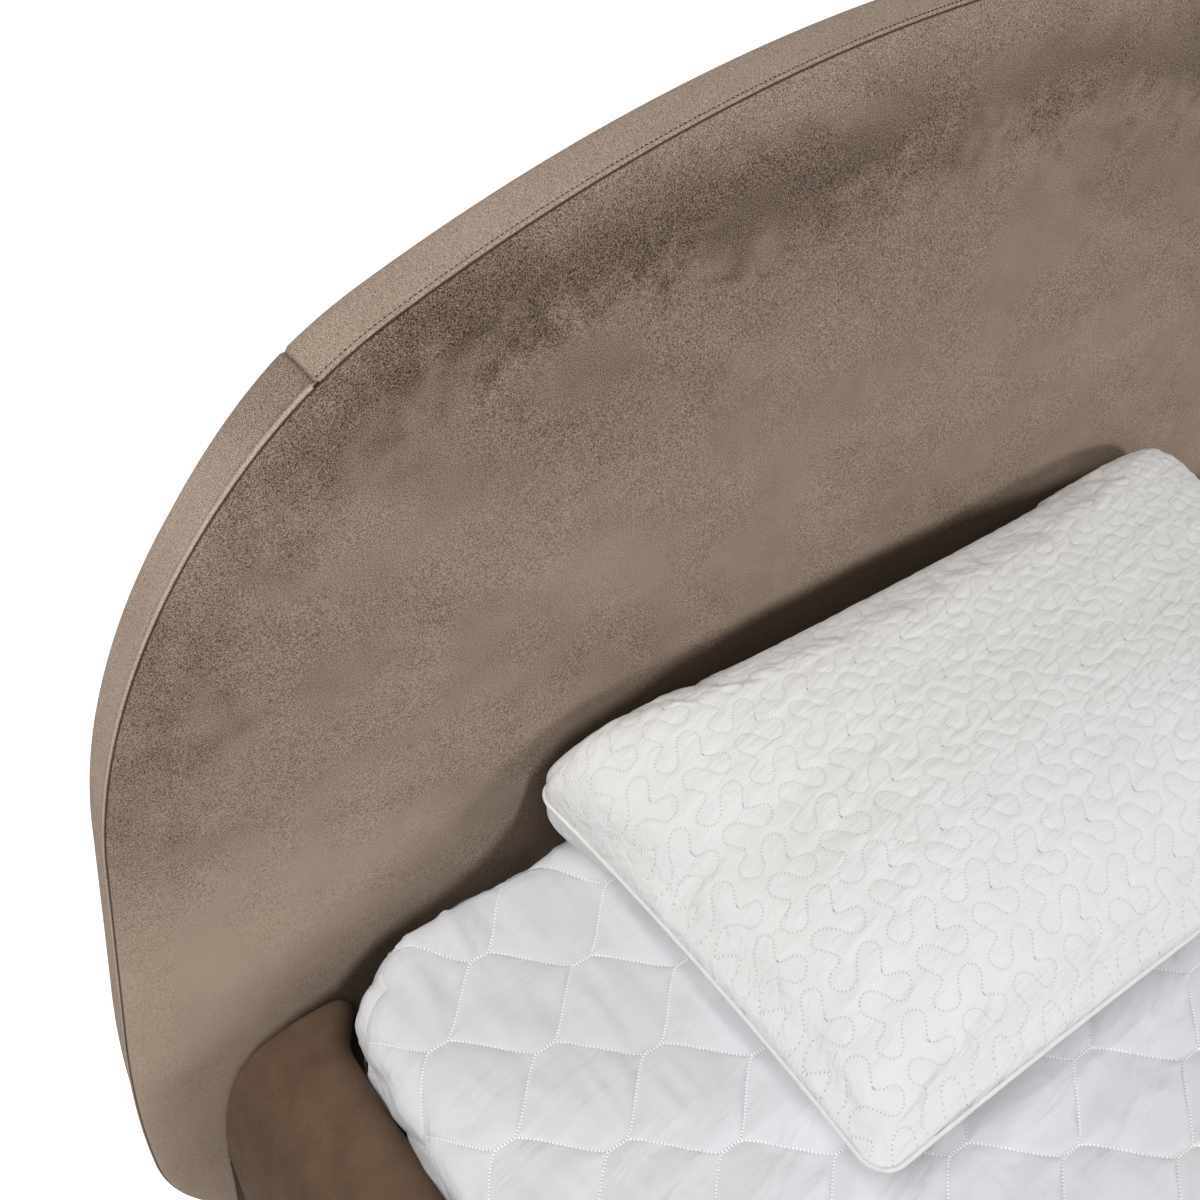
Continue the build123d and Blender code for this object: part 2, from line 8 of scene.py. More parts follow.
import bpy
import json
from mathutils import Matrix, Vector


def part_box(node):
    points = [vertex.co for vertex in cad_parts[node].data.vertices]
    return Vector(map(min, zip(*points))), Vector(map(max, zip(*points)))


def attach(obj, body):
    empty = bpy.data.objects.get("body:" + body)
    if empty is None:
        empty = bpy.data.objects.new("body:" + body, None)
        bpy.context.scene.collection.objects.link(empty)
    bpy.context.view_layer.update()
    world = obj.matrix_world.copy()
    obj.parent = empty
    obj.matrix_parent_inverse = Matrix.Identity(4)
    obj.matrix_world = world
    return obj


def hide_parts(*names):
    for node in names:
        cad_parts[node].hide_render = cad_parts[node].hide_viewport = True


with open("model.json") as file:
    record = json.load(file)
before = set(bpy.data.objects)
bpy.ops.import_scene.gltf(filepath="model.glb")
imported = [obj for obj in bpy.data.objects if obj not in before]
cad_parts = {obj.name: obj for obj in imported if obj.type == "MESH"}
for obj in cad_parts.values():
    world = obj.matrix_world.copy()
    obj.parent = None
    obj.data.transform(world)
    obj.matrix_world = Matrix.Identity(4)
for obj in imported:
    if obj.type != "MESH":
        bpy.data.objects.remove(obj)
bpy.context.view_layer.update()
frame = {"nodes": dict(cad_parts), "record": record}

# %% Tools and units
import json
import math

import bpy
import numpy as np
from mathutils import Vector, kdtree

mm = 0.001

# %% [markdown]
# ## The camera
# The photograph was taken from above the left side of the bed, close to the headboard, so
# lines that run away from the eye draw together strongly. A camera is set first, because
# every later choice of size and detail is judged through it. Its place was found by laying
# the headboard's seam, the mattress edge and the quilting's rows over the photograph.

# %% Camera
camera_place = (-0.983, 0.2415, 1.700)
camera_tilt = math.radians(47.3)
camera_turn = math.radians(-35.0)

bpy.ops.object.camera_add(location=camera_place, rotation=(camera_tilt, 0, camera_turn))
camera = bpy.context.object
camera.data.lens = 43.5
camera.data.sensor_width = 36
bpy.context.scene.camera = camera
bpy.context.scene.view_settings.view_transform = "Standard"
print("camera at", camera_place, "with a lens of", camera.data.lens, "mm")

# %% [markdown]
# ## Sums on shader sockets
# A material's pattern is arithmetic on sockets. Adding each Math node by hand hides that
# arithmetic, so one small class wraps a socket and lets Python's own signs add the nodes.
# Any other node comes from its one method, which sets the node up before its sockets.


# %% The socket class
class Socket:
    """A shader socket that takes part in sums: every sign adds a Math node."""

    def __init__(self, tree, socket=None):
        self.tree = tree
        self.socket = socket

    def node(self, kind, settings, sockets, output=0):
        """Adds a node of a kind: first its settings, then the values or links of its sockets."""
        made = self.tree.nodes.new("ShaderNode" + kind)
        for name, value in settings.items():
            setattr(made, name, value)
        for name, value in sockets.items():
            if isinstance(value, Socket):
                self.tree.links.new(value.socket, made.inputs[name])
            else:
                made.inputs[name].default_value = value
        return Socket(self.tree, made.outputs[output])

    def sign(self, operation, *values):
        """Adds the Math node for a sign or a function such as SINE."""
        return self.node("Math", {"operation": operation}, dict(enumerate(values)))

    def __add__(self, other):
        return self.sign("ADD", self, other)

    def __sub__(self, other):
        return self.sign("SUBTRACT", self, other)

    def __rsub__(self, other):
        return self.sign("SUBTRACT", other, self)

    def __mul__(self, other):
        return self.sign("MULTIPLY", self, other)

    def __abs__(self):
        return self.sign("ABSOLUTE", self)

    __radd__ = __add__
    __rmul__ = __mul__


# %% Helpers that every finish uses
def paint(code):
    """A colour written as on a paint card, such as 8f7d6f, as the numbers that Blender mixes."""
    shares = [int(code[i:i + 2], 16) / 255 for i in (0, 2, 4)]
    linear = [s / 12.92 if s <= 0.04045 else ((s + 0.055) / 1.055) ** 2.4 for s in shares]
    return (*linear, 1.0)


def new_finish(name):
    """Starts a material: returns it, its Object coordinates and its Principled shader."""
    material = bpy.data.materials.new(name)
    material.use_nodes = True
    tree = material.node_tree
    place = Socket(tree).node("TexCoord", {}, {}, output="Object")
    return material, place, tree.nodes["Principled BSDF"]


def settle(shader, **sockets):
    """Gives a Principled shader its values and links, named with _ for each space."""
    for name, value in sockets.items():
        place = shader.inputs[name.replace("_", " ")]
        if isinstance(value, Socket):
            value.tree.links.new(value.socket, place)
        else:
            place.default_value = value


def noise(place, scale, detail=2.0, distortion=0.0):
    """Random clouds from 0 to 1; scale is how many fit in a metre."""
    return place.node("TexNoise", {}, {"Vector": place, "Scale": scale, "Detail": detail,
                                       "Distortion": distortion})


def stretch(place, scale, turn=(0, 0, 0)):
    """Turns and stretches coordinates, so that a pattern runs along a direction."""
    radians = [math.radians(angle) for angle in turn]
    turned = place.node("Mapping", {}, {"Vector": place, "Rotation": radians})
    return turned.node("Mapping", {}, {"Vector": turned, "Scale": scale})


def rise(value, low, high, start=0.0, end=1.0):
    """Goes smoothly from start to end while value goes from low to high."""
    settings = {"interpolation_type": "SMOOTHSTEP"}
    return value.node("MapRange", settings, {0: value, 1: low, 2: high, 3: start, 4: end})


def mix(mask, first, second):
    """The first colour where the mask is 0 and the second where it is 1."""
    sockets = {0: mask, 6: first, 7: second}
    return mask.node("Mix", {"data_type": "RGBA"}, sockets, output=2)


def bump(height, distance, strength=1.0, under=None):
    """A normal that leans as if the surface had that height times that distance."""
    sockets = {"Height": height, "Distance": distance, "Strength": strength}
    if under is not None:
        sockets["Normal"] = under
    return height.node("Bump", {}, sockets)


def measured(place, name):
    """A number that the piece's own mesh carries at each point."""
    return place.node("Attribute", {"attribute_name": name}, {}, output=2)


# %% [markdown]
# ## Velvet
# Velvet is short upright pile. Where a hand has brushed it one way it shows deep, and the
# other way pale, so a plain colour never looks like it. The pattern is built from three
# sizes of cloud: long brushed strokes, palm-sized blotches, and the fine grain of the pile.
# The pile lifts light at grazing angles, which the shader's sheen does by itself. Along each
# seam a thin line of painted shade stands for the shade in the seam's groove, and the mesh
# says how far the seam is.

# %% Velvet finish
# Colour of the painted shade along the seams and of the painted shadow on the front panel.
painted_shade_colour = "2a170a"


def velvet(name, deep, pale, level, brushing, grain_size=1.0, marks=None):
    """Velvet between two colours; level is its usual nap and brushing how much it varies."""
    material, place, shader = new_finish(name)
    brushed = stretch(place, (1.0, 1.0, 2.0), turn=(0, -25, 0))
    clouds = noise(brushed, 4.5, 4.0, 0.6) - 0.5
    blotches = noise(place, 32.0, 3.0, 0.5) - 0.5
    # Painted shade: a thin line in the groove of each seam, fading out by 2.4 mm from it.
    painted_shade = rise(measured(place, "seam"), 1.0 * mm, 2.4 * mm, 0.95, 0.0)
    nap = clouds * (2.0 * brushing) + blotches * brushing + level
    # The marks add darker and lighter zones, painted highlight and shade, and painted shadow.
    if marks:
        drop, painted_shadow = marks(place, blotches)
        nap = nap - drop
        painted_shade = painted_shade + painted_shadow
    grain = noise(place, 1000.0, 2.0) - 0.5
    tone = mix(nap + grain * (2.3 * grain_size), paint(deep), paint(pale))
    settle(shader, Base_Color=mix(painted_shade, tone, paint(painted_shade_colour)), Roughness=0.92,
           Specular_IOR_Level=0.15, Sheen_Weight=0.10, Sheen_Roughness=0.45, Sheen_Tint=paint(pale),
           Normal=bump(grain, 0.8 * mm, 0.6))
    return material


def panel_tone_and_painted_shade(place, blotches):
    """Darker and lighter zones of the front panel, painted shade where it rolls into the seam, and the
    painted shadow of the pillow and the mattress.
    """
    aside = abs(place.node("SeparateXYZ", {}, {"Vector": place}))
    height = place.node("SeparateXYZ", {}, {"Vector": place}, output=2)
    # Zones where the panel is darker or lighter. The beside term is a ragged strip of painted shade inside
    # the seam at the shoulders, where the pad rolls back.
    streaks = noise(place, 75.0, 4.0, 1.2) - 0.5
    ragged = measured(place, "seam") + blotches * (120 * mm) + streaks * (40 * mm)
    shoulder = rise(aside, 0.42, 0.62) * rise(height, 0.60, 0.86)
    beside = shoulder * rise(ragged, -10 * mm, 120 * mm, 1.0, 0.0)
    away = abs(ragged - rise(aside, 0.20, 0.62, 92 * mm, 20 * mm))
    under_arch = rise(away, 0 * mm, 80 * mm, 1.0, 0.0) * rise(aside, 0.50, 0.68, 1.0, 0.0)
    middle = rise(height, 0.84, 1.06) * rise(aside, 0.50, 0.72, 1.0, 0.0)
    low = rise(aside, 0.40, 0.85) * rise(height, 0.52, 0.86, 0.36, 0.0)
    drop = beside * 0.21 + (under_arch * 0.22 + middle * 0.08) * rise(height, 0.80, 0.95) - low
    # Painted shadow of the pillow and the mattress. It begins 23 mm above the edge laid in the mesh, is
    # strongest just below it, fades further down and is lighter beside the pillow.
    under = measured(place, "painted_shadow") + blotches * (10 * mm)
    beside_pillow = rise(aside, 0.44, 0.53) * rise(aside, 0.58, 0.68, 1.0, 0.0)
    strength = rise(under, 80 * mm, 190 * mm, 0.85, 0.25) - beside_pillow * 0.22
    return drop, rise(under, -23 * mm, 7 * mm) * strength


def side_band_tone_and_painted_light(place, _):
    """A painted highlight over the side band's folded seam and painted shade just behind it; the band is
    also darker near its top end.
    """
    seam = measured(place, "seam")
    # Painted highlight up to 5 mm from the seam, over the raised welt, and painted shade from 7 to 12 mm.
    welt_painted_light = rise(seam, 5 * mm, 7 * mm, -0.20, 0.10) + rise(seam, 7.5 * mm, 12 * mm, 0.0, -0.10)
    top = rise(measured(place, "from_top"), 5 * mm, 130 * mm, 0.20, 0.0) * rise(seam, 6 * mm, 9 * mm)
    return welt_painted_light + top, 0.0


panel_velvet = velvet("panel_velvet", "3b291c", "b4a18f", level=0.58, brushing=0.20, marks=panel_tone_and_painted_shade)
band_velvet = velvet("band_velvet", "5c493b", "d2bfae", level=0.40, brushing=0.07, grain_size=0.8)
side_velvet = velvet("side_velvet", "4f3c2f", "c8b5a4", level=0.52, brushing=0.12, grain_size=0.9,
                     marks=side_band_tone_and_painted_light)
# The rails wear the headboard's velvet in much darker colours, which paint in the shade they lie in.
rail_velvet_with_painted_shade = velvet("rail_velvet_with_painted_shade", "3c291c", "7c6755", level=0.42, brushing=0.40, grain_size=0.3)
print("velvets:", [made.name for made in (panel_velvet, band_velvet, side_velvet, rail_velvet_with_painted_shade)])

# %% [markdown]
# ## White cotton
# The mattress cover is smooth white cotton with a cool cast, and the pillow's is a little
# warmer. At arm's length their weave shows only as a fine tooth. What does show is the
# stitching: a row of small bright dots in a fine crease. The mesh carries its distance to
# the nearest line of stitches, and the finish draws the crease and the dots from it, with
# painted shade in the crease and in the needle holes.

# %% Cotton finishes
needle_pitch = 3.4 * mm


def cotton(name, cloth, shade, thread, thick, bold, folds_size, folds_depth):
    """Stitched cotton: cloth is its colour, and shade a greyer one for soft clouds and for the painted shade
    in its stitched creases and needle holes; thick is its thread and bold its relief.
    """
    material, place, shader = new_finish(name)
    off_line = abs(measured(place, "stitch"))
    crease = rise(off_line, 0.0, 3 * thick, 1.0, 0.0)
    on_line = rise(off_line, 0.6 * thick, thick, 1.0, 0.0)
    beat = place.sign("SINE", measured(place, "run") * (2 * math.pi / needle_pitch))
    dots = rise(beat, -0.7, -0.2) * on_line
    holes = rise(beat, -0.9, -0.6, 1.0, 0.0) * on_line
    weave = noise(place, 1500.0, 1.0)
    clouds = noise(place, 22.0, 3.0)
    # The crease and the needle holes are mixed towards shade as painted shade in those hollows.
    tone = mix(clouds * 0.25 + (crease * 0.15 + holes * 0.65) * bold, paint(cloth), paint(shade))
    folds = noise(stretch(place, (0.28, 1.0, 1.0), turn=(0, 0, -12)), folds_size, 3.0, 0.5)
    soft = bump(folds, folds_depth, 0.7)
    creased = bump(1 - crease, 0.4 * mm, 0.5 * bold, under=soft)
    round_thread = rise(off_line, 0.0, thick, 1.0, 0.0) * dots
    relief = bump(weave * 0.15 + (round_thread - holes) * bold, 0.5 * mm, 0.8, under=creased)
    settle(shader, Base_Color=mix(dots, tone, paint(thread)), Roughness=0.80, Normal=relief,
           Sheen_Weight=0.10, Sheen_Roughness=0.5)
    return material


quilt_cotton = cotton("quilt_cotton", "dcdde0", "bcbec2", "fcfcfd", thick=1.2 * mm, bold=0.65,
                      folds_size=22.0, folds_depth=12 * mm)
pillow_cotton = cotton("pillow_cotton", "e6e6e5", "b8b8b5", "ecece9", thick=0.65 * mm, bold=0.78,
                       folds_size=95.0, folds_depth=4.5 * mm)
print("cottons:", [made.name for made in (quilt_cotton, pillow_cotton)])

# %% [markdown]
# ## The finishes under the cloth
# Timber, board, steel, foam and felt are seen from below, from behind or when the mattress
# is lifted off. Each still gets what its kind shows: sawn pine has long growth rings, board
# has thin layers at its edge, powder coat is finely pebbled and zinc is patchy.


# %% Timber, steel, foam and felt
def timber(name, early, late, rings, rough=0.6):
    """Sawn wood; rings is how fast its growth rings change along X, Y and Z."""
    material, place, shader = new_finish(name)
    drift = noise(place, 3.0, 2.0)
    along = stretch(place, rings)
    grain = noise(along, 1.0, 4.0, 0.8)
    pores = noise(stretch(along, (4, 4, 4)), 1.0, 2.0)
    tone = rise(grain + drift * 0.2, 0.40, 0.80)
    settle(shader, Base_Color=mix(tone, paint(early), paint(late)),
           Roughness=rise(pores, 0.3, 0.7, rough, rough + 0.15),
           Normal=bump(pores + grain, 0.4 * mm, 0.6))
    return material


def pebbled(name, colour, size, depth, metal=0.0, rough=0.5):
    """A coat or mat whose surface is fine pebbles of a size."""
    material, place, shader = new_finish(name)
    pebbles = noise(place, 1 / size, 3.0)
    cloud = noise(place, 15.0, 3.0)
    worn = mix(cloud, tuple(0.8 * c for c in paint(colour)[:3]) + (1.0,), paint(colour))
    settle(shader, Base_Color=worn, Metallic=metal, Roughness=rise(cloud, 0.3, 0.7, rough, rough + 0.12),
           Normal=bump(pebbles, depth, 0.6))
    return material


finishes = {
    "pine": timber("pine", "dcc196", "b98f5c", (60, 4, 60)),
    "plywood": timber("plywood", "cdb08a", "a88860", (9, 9, 260)),
    "slat_wood": timber("slat_wood", "e2c9a2", "c9a676", (4, 70, 70), 0.5),
    "dark_wood": timber("dark_wood", "3a2a20", "22170f", (90, 90, 8), 0.55),
    "black_steel": pebbled("black_steel", "1c1c1d", 0.8 * mm, 0.2 * mm, rough=0.45),
    "zinc_steel": pebbled("zinc_steel", "b4b6ba", 3 * mm, 0.1 * mm, metal=1.0, rough=0.32),
    "foam": pebbled("foam", "efe6c8", 1.2 * mm, 1.0 * mm, rough=0.85),
    "felt": pebbled("felt", "4c4742", 1.0 * mm, 0.8 * mm, rough=0.9),
    "velvet": rail_velvet_with_painted_shade,
    "quilted_cotton": quilt_cotton,
    "pillow_cotton": pillow_cotton,
}
for subpart in frame["record"]["subparts"]:
    part = frame["nodes"][subpart["node"]]
    part.data.materials.clear()
    part.data.materials.append(finishes[subpart["material_slot"]])
print("finishes on the packed parts:", len(frame["nodes"]))

# %% [markdown]
# ## Arcs and paths
# An upholsterer's outlines are arcs that run smoothly into each other. The same two arcs
# that draw the headboard also round the rails, so they are worked out once here. A path
# then says, for any distance along it, where the cloth is and which way is outwards. What
# cloth does near a seam comes and goes with the distance from it, as a ramp or as a hump.


# %% Ramps and humps
def ramp(value, width, start=0.0):
    """0 up to a start, then evenly up to 1 over a width, and 1 beyond."""
    return np.clip((value - start) / width, 0, 1)


def hump(value, middle, width):
    """1 at its middle, and fading softly to 0 on both sides."""
    return np.exp(-((value - middle) / width) ** 2)


# %% Arcs and paths
def arc(start, way, end, step=3 * mm):
    """Points of the arc that leaves start in a direction and goes to end, without its end."""
    start, way, end = (np.array(value, float) for value in (start, way, end))
    way = way / np.linalg.norm(way)
    left = np.array([-way[1], way[0]])
    chord = end - start
    lean = chord @ left
    if abs(lean) < 1e-9:
        return start + np.linspace(0, 1, 24, endpoint=False)[:, None] * chord
    radius = chord @ chord / (2 * lean)
    turn = 2 * math.atan2(lean, chord @ way)
    angles = np.linspace(0, turn, max(4, int(abs(radius * turn) / step)), endpoint=False)
    spoke = -radius * left
    across = np.array([-spoke[1], spoke[0]])
    centre = start - spoke
    return centre + np.cos(angles)[:, None] * spoke + np.sin(angles)[:, None] * across


def two_arcs(start, leaving, end, arriving):
    """Points of two tangent arcs that leave start and arrive at end in given directions."""
    start, leaving, end, arriving = (np.array(v, float) for v in (start, leaving, end, arriving))
    leaving = leaving / np.linalg.norm(leaving)
    arriving = arriving / np.linalg.norm(arriving)
    chord = end - start
    spread = 2 * (1 - leaving @ arriving)
    forward = chord @ (leaving + arriving)
    reach = chord @ chord / (math.sqrt(forward ** 2 + spread * (chord @ chord)) + forward)
    near = start + reach * leaving
    far = end - reach * arriving
    middle = (near + far) / 2
    return np.vstack([arc(start, leaving, middle), arc(middle, far - near, end)])


class Path:
    """A line of points that tells the place and the outward side at any distance along it."""

    def __init__(self, points):
        self.points = np.array(points, float)
        runs = np.linalg.norm(np.diff(self.points, axis=0), axis=1)
        self.lengths = np.concatenate([[0.0], np.cumsum(runs)])
        self.length = self.lengths[-1]

    def place(self, distance):
        """Where the path is at a distance along it."""
        x, z = (np.interp(distance, self.lengths, self.points[:, i]) for i in (0, 1))
        return np.stack([x, z], axis=-1)

    def outward(self, distance, reach=2 * mm):
        """The side to the left of the way the path runs, which is outwards on a clockwise one."""
        ahead = self.place(np.minimum(distance + reach, self.length))
        behind = self.place(np.maximum(distance - reach, 0.0))
        way = ahead - behind
        way = way / np.linalg.norm(way, axis=-1, keepdims=True)
        return np.stack([-way[..., 1], way[..., 0]], axis=-1)


def path_through(stops):
    """A path of arcs and straights through stops, each with the way in which it is left."""
    runs = [arc(start, way, end) for (start, way), (end, _) in zip(stops, stops[1:])]
    return Path(np.vstack(runs + [[stops[-1][0]]]))


# %% [markdown]
# ## Cloth from a grid
# Every skin of the bed starts as Blender's grid primitive. Its points are then laid where
# the cloth goes, by a rule that takes the place in the grid and gives the place in space.
# This keeps rows of faces in line with seams, which sculpting or remeshing would lose. The
# rule also gives the lengths along the cloth, so that the grid's own map is in real metres.


# %% The grid helper
def lay_cloth(name, columns, rows, rule, inside=None, thickness=0.0):
    """Adds a grid, lays its points by a rule and makes its faces look away from a place inside."""
    bpy.ops.object.select_all(action="DESELECT")
    bpy.ops.mesh.primitive_grid_add(x_subdivisions=columns, y_subdivisions=rows, size=1)
    cloth = bpy.context.object
    cloth.name = name
    cloth.data.name = name
    flat = np.empty(3 * len(cloth.data.vertices))
    cloth.data.vertices.foreach_get("co", flat)
    u, v = (flat.reshape(-1, 3)[:, :2] + 0.5).T
    points, lengths, marks = rule(u, v)
    cloth.data.vertices.foreach_set("co", points.ravel())
    corners = np.empty(len(cloth.data.loops), int)
    cloth.data.loops.foreach_get("vertex_index", corners)
    cloth.data.uv_layers[0].data.foreach_set("uv", lengths[corners].ravel())
    for mark, values in marks.items():
        cloth.data.attributes.new(mark, "FLOAT", "POINT").data.foreach_set("value", values)
    finish_cloth(cloth, inside, thickness)
    return cloth


def finish_cloth(cloth, inside, thickness):
    """Merges doubled points, turns the faces outwards and gives the cloth its thickness."""
    bpy.ops.object.mode_set(mode="EDIT")
    bpy.ops.mesh.select_all(action="SELECT")
    bpy.ops.mesh.remove_doubles(threshold=0.01 * mm)
    bpy.ops.mesh.normals_make_consistent(inside=False)
    bpy.ops.object.mode_set(mode="OBJECT")
    if inside is not None:
        look = sum((face.center - Vector(inside)).dot(face.normal) * face.area
                   for face in cloth.data.polygons)
        if look < 0:
            cloth.data.flip_normals()
    if thickness:
        wall = cloth.modifiers.new("wall", "SOLIDIFY")
        wall.thickness = thickness
        wall.offset = -1
        bpy.ops.object.modifier_apply(modifier=wall.name)
    bpy.ops.object.shade_smooth()


def dress(piece, material, body, slot, *nodes, fill=None):
    """Paints a piece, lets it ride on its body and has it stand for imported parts."""
    piece.data.materials.clear()
    piece.data.materials.append(material)
    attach(piece, body)
    if nodes:
        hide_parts(*nodes)
    print(piece.name, len(piece.data.polygons), "faces")


# %% [markdown]
# ## Soft unevenness
# Stuffed cloth is never quite even. A lattice of random numbers, blended smoothly between
# its points, gives gentle swells of a chosen size. It is seeded, so each run is the same.


# %% Random swells
def swells(points, size, seed):
    """Smooth heights from -1 to 1 at points, with swells of a size in metres."""
    lattice = np.random.default_rng(seed).uniform(-1, 1, (32, 32, 32))
    scaled = points / np.array(size, float)
    low = np.floor(scaled).astype(int)
    share = scaled - low
    share = share * share * (3 - 2 * share)
    total = np.zeros(len(points))
    for corner in np.ndindex(2, 2, 2):
        index = (low + corner) % 32
        weight = np.prod(np.where(corner, share, 1 - share), axis=1)
        total += weight * lattice[tuple(index.T)]
    return total


def uneven(points, *layers):
    """Adds up swells, each given as a height, a size and a seed."""
    return sum(height * swells(points, size, seed) for height, size, seed in layers)


def folded(points, sharpness, *layers):
    """Adds up soft folds, ridges between swells, each given as a height, a size and a seed."""
    return sum(height * (1 - sharpness * abs(swells(points, size, seed)))
               for height, size, seed in layers)


# %% [markdown]
# ## The headboard's outline
# The arch is flat-topped, with broad shoulders that fall into nearly straight sides and
# rounded feet. It passes through a few places that are given as shares of the half width
# and of the height, with how steeply it falls there, and arcs join them.

# %% Outline of the headboard
pad_low, pad_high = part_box("headboard_front_cover")
half_width = pad_high.x
headboard_bottom, headboard_top = pad_low.z, pad_high.z
seam_y, crown_y = pad_high.y, pad_low.y
back_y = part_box("headboard_top_band")[1].y
corner_radius = 240 * mm
back_edge_radius = 30 * mm
outline_shares = ((0.618, 0.916, 0.282), (0.742, 0.861, 0.639), (0.944, 0.589, 4.810))


def headboard_outline():
    """The whole outline from the top, down the right side and back up the left."""
    place, way = (0.0, headboard_top), (1.0, 0.0)
    runs = []
    for x_share, z_share, fall_share in outline_shares:
        following = (x_share * half_width, z_share * headboard_top)
        next_way = (half_width, -fall_share * headboard_top)
        runs.append(two_arcs(place, way, following, next_way))
        place, way = following, next_way
    widest = (half_width, headboard_bottom + corner_radius)
    corner_end = (half_width - corner_radius, headboard_bottom)
    runs.append(two_arcs(place, way, widest, (0, -1)))
    runs.append(arc(widest, (0, -1), corner_end))
    runs.append(arc(corner_end, (-1, 0), (0.0, headboard_bottom)))
    right = np.vstack(runs)
    left = right[1:][::-1] * (-1, 1)
    middle = [(0.0, headboard_bottom)]
    return np.vstack([right, middle, left, right[:1]])


outline = Path(headboard_outline())
print("round the headboard:", round(outline.length, 3), "m")

# %% [markdown]
# ## The front pad
# The big panel is foam under one piece of velvet. Its middle stands about 13 mm proud, and
# its last few centimetres roll back into the seam. Rings of faces are laid from the seam
# inwards, close together on the roll and wider in the middle, so that the roll is smooth.

# %% Front pad
pad_crown = seam_y - crown_y
roll_width = 52 * mm
tuck_depth, tuck_width = 3 * mm, 1.6 * mm
pad_centre = np.array([0.0, 0.56])
near_seam = 10 * mm
cloth_thickness = 2 * mm
rim_samples, most_at_once = 900, 4000


def seam_distance(points):
    """How far points of the headboard's front are from its seam."""
    rim = outline.place(np.linspace(0, outline.length, rim_samples))
    shares = np.array_split(points, len(points) // most_at_once + 1)
    return np.concatenate([np.linalg.norm(share[:, None] - rim, axis=2).min(axis=1) for share in shares])


def pad_height(distance):
    """How far the pad stands in front of the seam, at a distance from it."""
    roll = 1 - (1 - ramp(distance, roll_width)) ** 2.2
    return pad_crown * roll - tuck_depth * np.exp(-distance / tuck_width)


def towards_middle(rim, share):
    """Places between the rim and the headboard's middle, in its plane and in space."""
    flat = pad_centre + (rim - pad_centre) * share[:, None]
    return flat, np.stack([flat[:, 0], np.zeros(len(flat)), flat[:, 1]], axis=1)


# Points (x, z) of the upper edge of the painted shadow that the mattress and the pillow cast on the front
# panel. The points beside the bed serve both sides.
shadow_beside_bed = [(0.96, 0.00), (0.90, 0.08), (0.888, 0.27), (0.86, 0.365), (0.83, 0.405), (0.79, 0.422),
              (0.737, 0.434), (0.69, 0.470), (0.618, 0.486)]
shadow_behind_pillow = [(-0.57, 0.505), (-0.52, 0.550), (-0.505, 0.600), (-0.46, 0.628), (-0.385, 0.642),
                 (-0.322, 0.653), (-0.218, 0.660), (-0.049, 0.663), (0.074, 0.656), (0.212, 0.632),
                 (0.322, 0.613), (0.40, 0.600), (0.43, 0.520)]
painted_shadow_line = np.array([(-x, z) for x, z in shadow_beside_bed] + shadow_behind_pillow + shadow_beside_bed[::-1])


def lay_pad(u, v):
    """The rule for the pad: u goes round the seam and v from the middle to the seam."""
    rim = outline.place(u * outline.length)
    flat, place = towards_middle(rim, 1 - v ** 1.7)
    straight_in = ((rim - flat) * outline.outward(u * outline.length)).sum(axis=1)
    distance = np.where(straight_in < near_seam, straight_in, seam_distance(flat))
    wavy = uneven(place, (1.2 * mm, 0.22, 1), (0.5 * mm, 0.07, 2)) - 0.8 * mm
    pucker = uneven(place, (0.5 * mm, 0.03, 3)) * hump(distance, 18 * mm, 14 * mm)
    height = pad_height(distance) + wavy * ramp(distance, 30 * mm) + pucker
    place[:, 1] = seam_y - height
    # How far each point lies below the edge of the painted shadow.
    painted_shadow = np.interp(flat[:, 0], *painted_shadow_line.T) - flat[:, 1]
    return place, flat, {"seam": distance, "painted_shadow": painted_shadow}


front_pad = lay_cloth("headboard_front", 600, 80, lay_pad, inside=(0, back_y, 0.6),
                      thickness=cloth_thickness)
dress(front_pad, panel_velvet, "bed_frame", "velvet", "headboard_front_cover", "headboard_front_foam",
      fill=0.9)

# %% [markdown]
# ## The band round the edge
# A band of velvet covers the edge in three lengths: one over the arch and one down each
# side. It lies flat for about 45 mm behind the front seam, then rounds into the back. Both
# of its long edges and its ends tuck into seams, so there the cloth dips in a short roll.

# %% Band profile
flat_depth = back_y - seam_y - back_edge_radius
turn_in = 20 * mm
flat_rows = np.concatenate([np.linspace(0, 12, 25), np.linspace(14, flat_depth / mm, 10)]) * mm
round_rows = np.linspace(0.08, 1, 12) * math.pi / 2
band_out = np.concatenate([0 * flat_rows, back_edge_radius * (np.cos(round_rows) - 1),
                           [-back_edge_radius - turn_in]])
band_back = np.concatenate([flat_rows, flat_depth + back_edge_radius * np.sin(round_rows),
                            [flat_depth + back_edge_radius]])
band_rows = len(band_out) - 1
stitch_line = 8 * mm
seam_dip, end_dip, stitch_dip, fold_rise = 3 * mm, 2.2 * mm, 0.7 * mm, 0.9 * mm
side_draw_in, draw_in_start = 8 * mm, 150 * mm
cross_seam_shares = (0.688, 0.892)


def cross_seam_distance():
    """Where along the outline the seam between top band and side band lies."""
    target = np.array([cross_seam_shares[0] * half_width, cross_seam_shares[1] * headboard_top])
    distances = np.linspace(0, outline.length / 2, 3000)
    gaps = np.linalg.norm(outline.place(distances) - target, axis=1)
    return distances[gaps.argmin()]


cross_seam = cross_seam_distance()
print("from the top of the arch to the cross seam:", round(cross_seam, 3), "m")


def off_outline(along, out, y):
    """Places a little off the headboard's outline, at a distance along it and at a depth."""
    flat = outline.place(along) + outline.outward(along) * out[:, None]
    return np.stack([flat[:, 0], y, flat[:, 1]], axis=1)


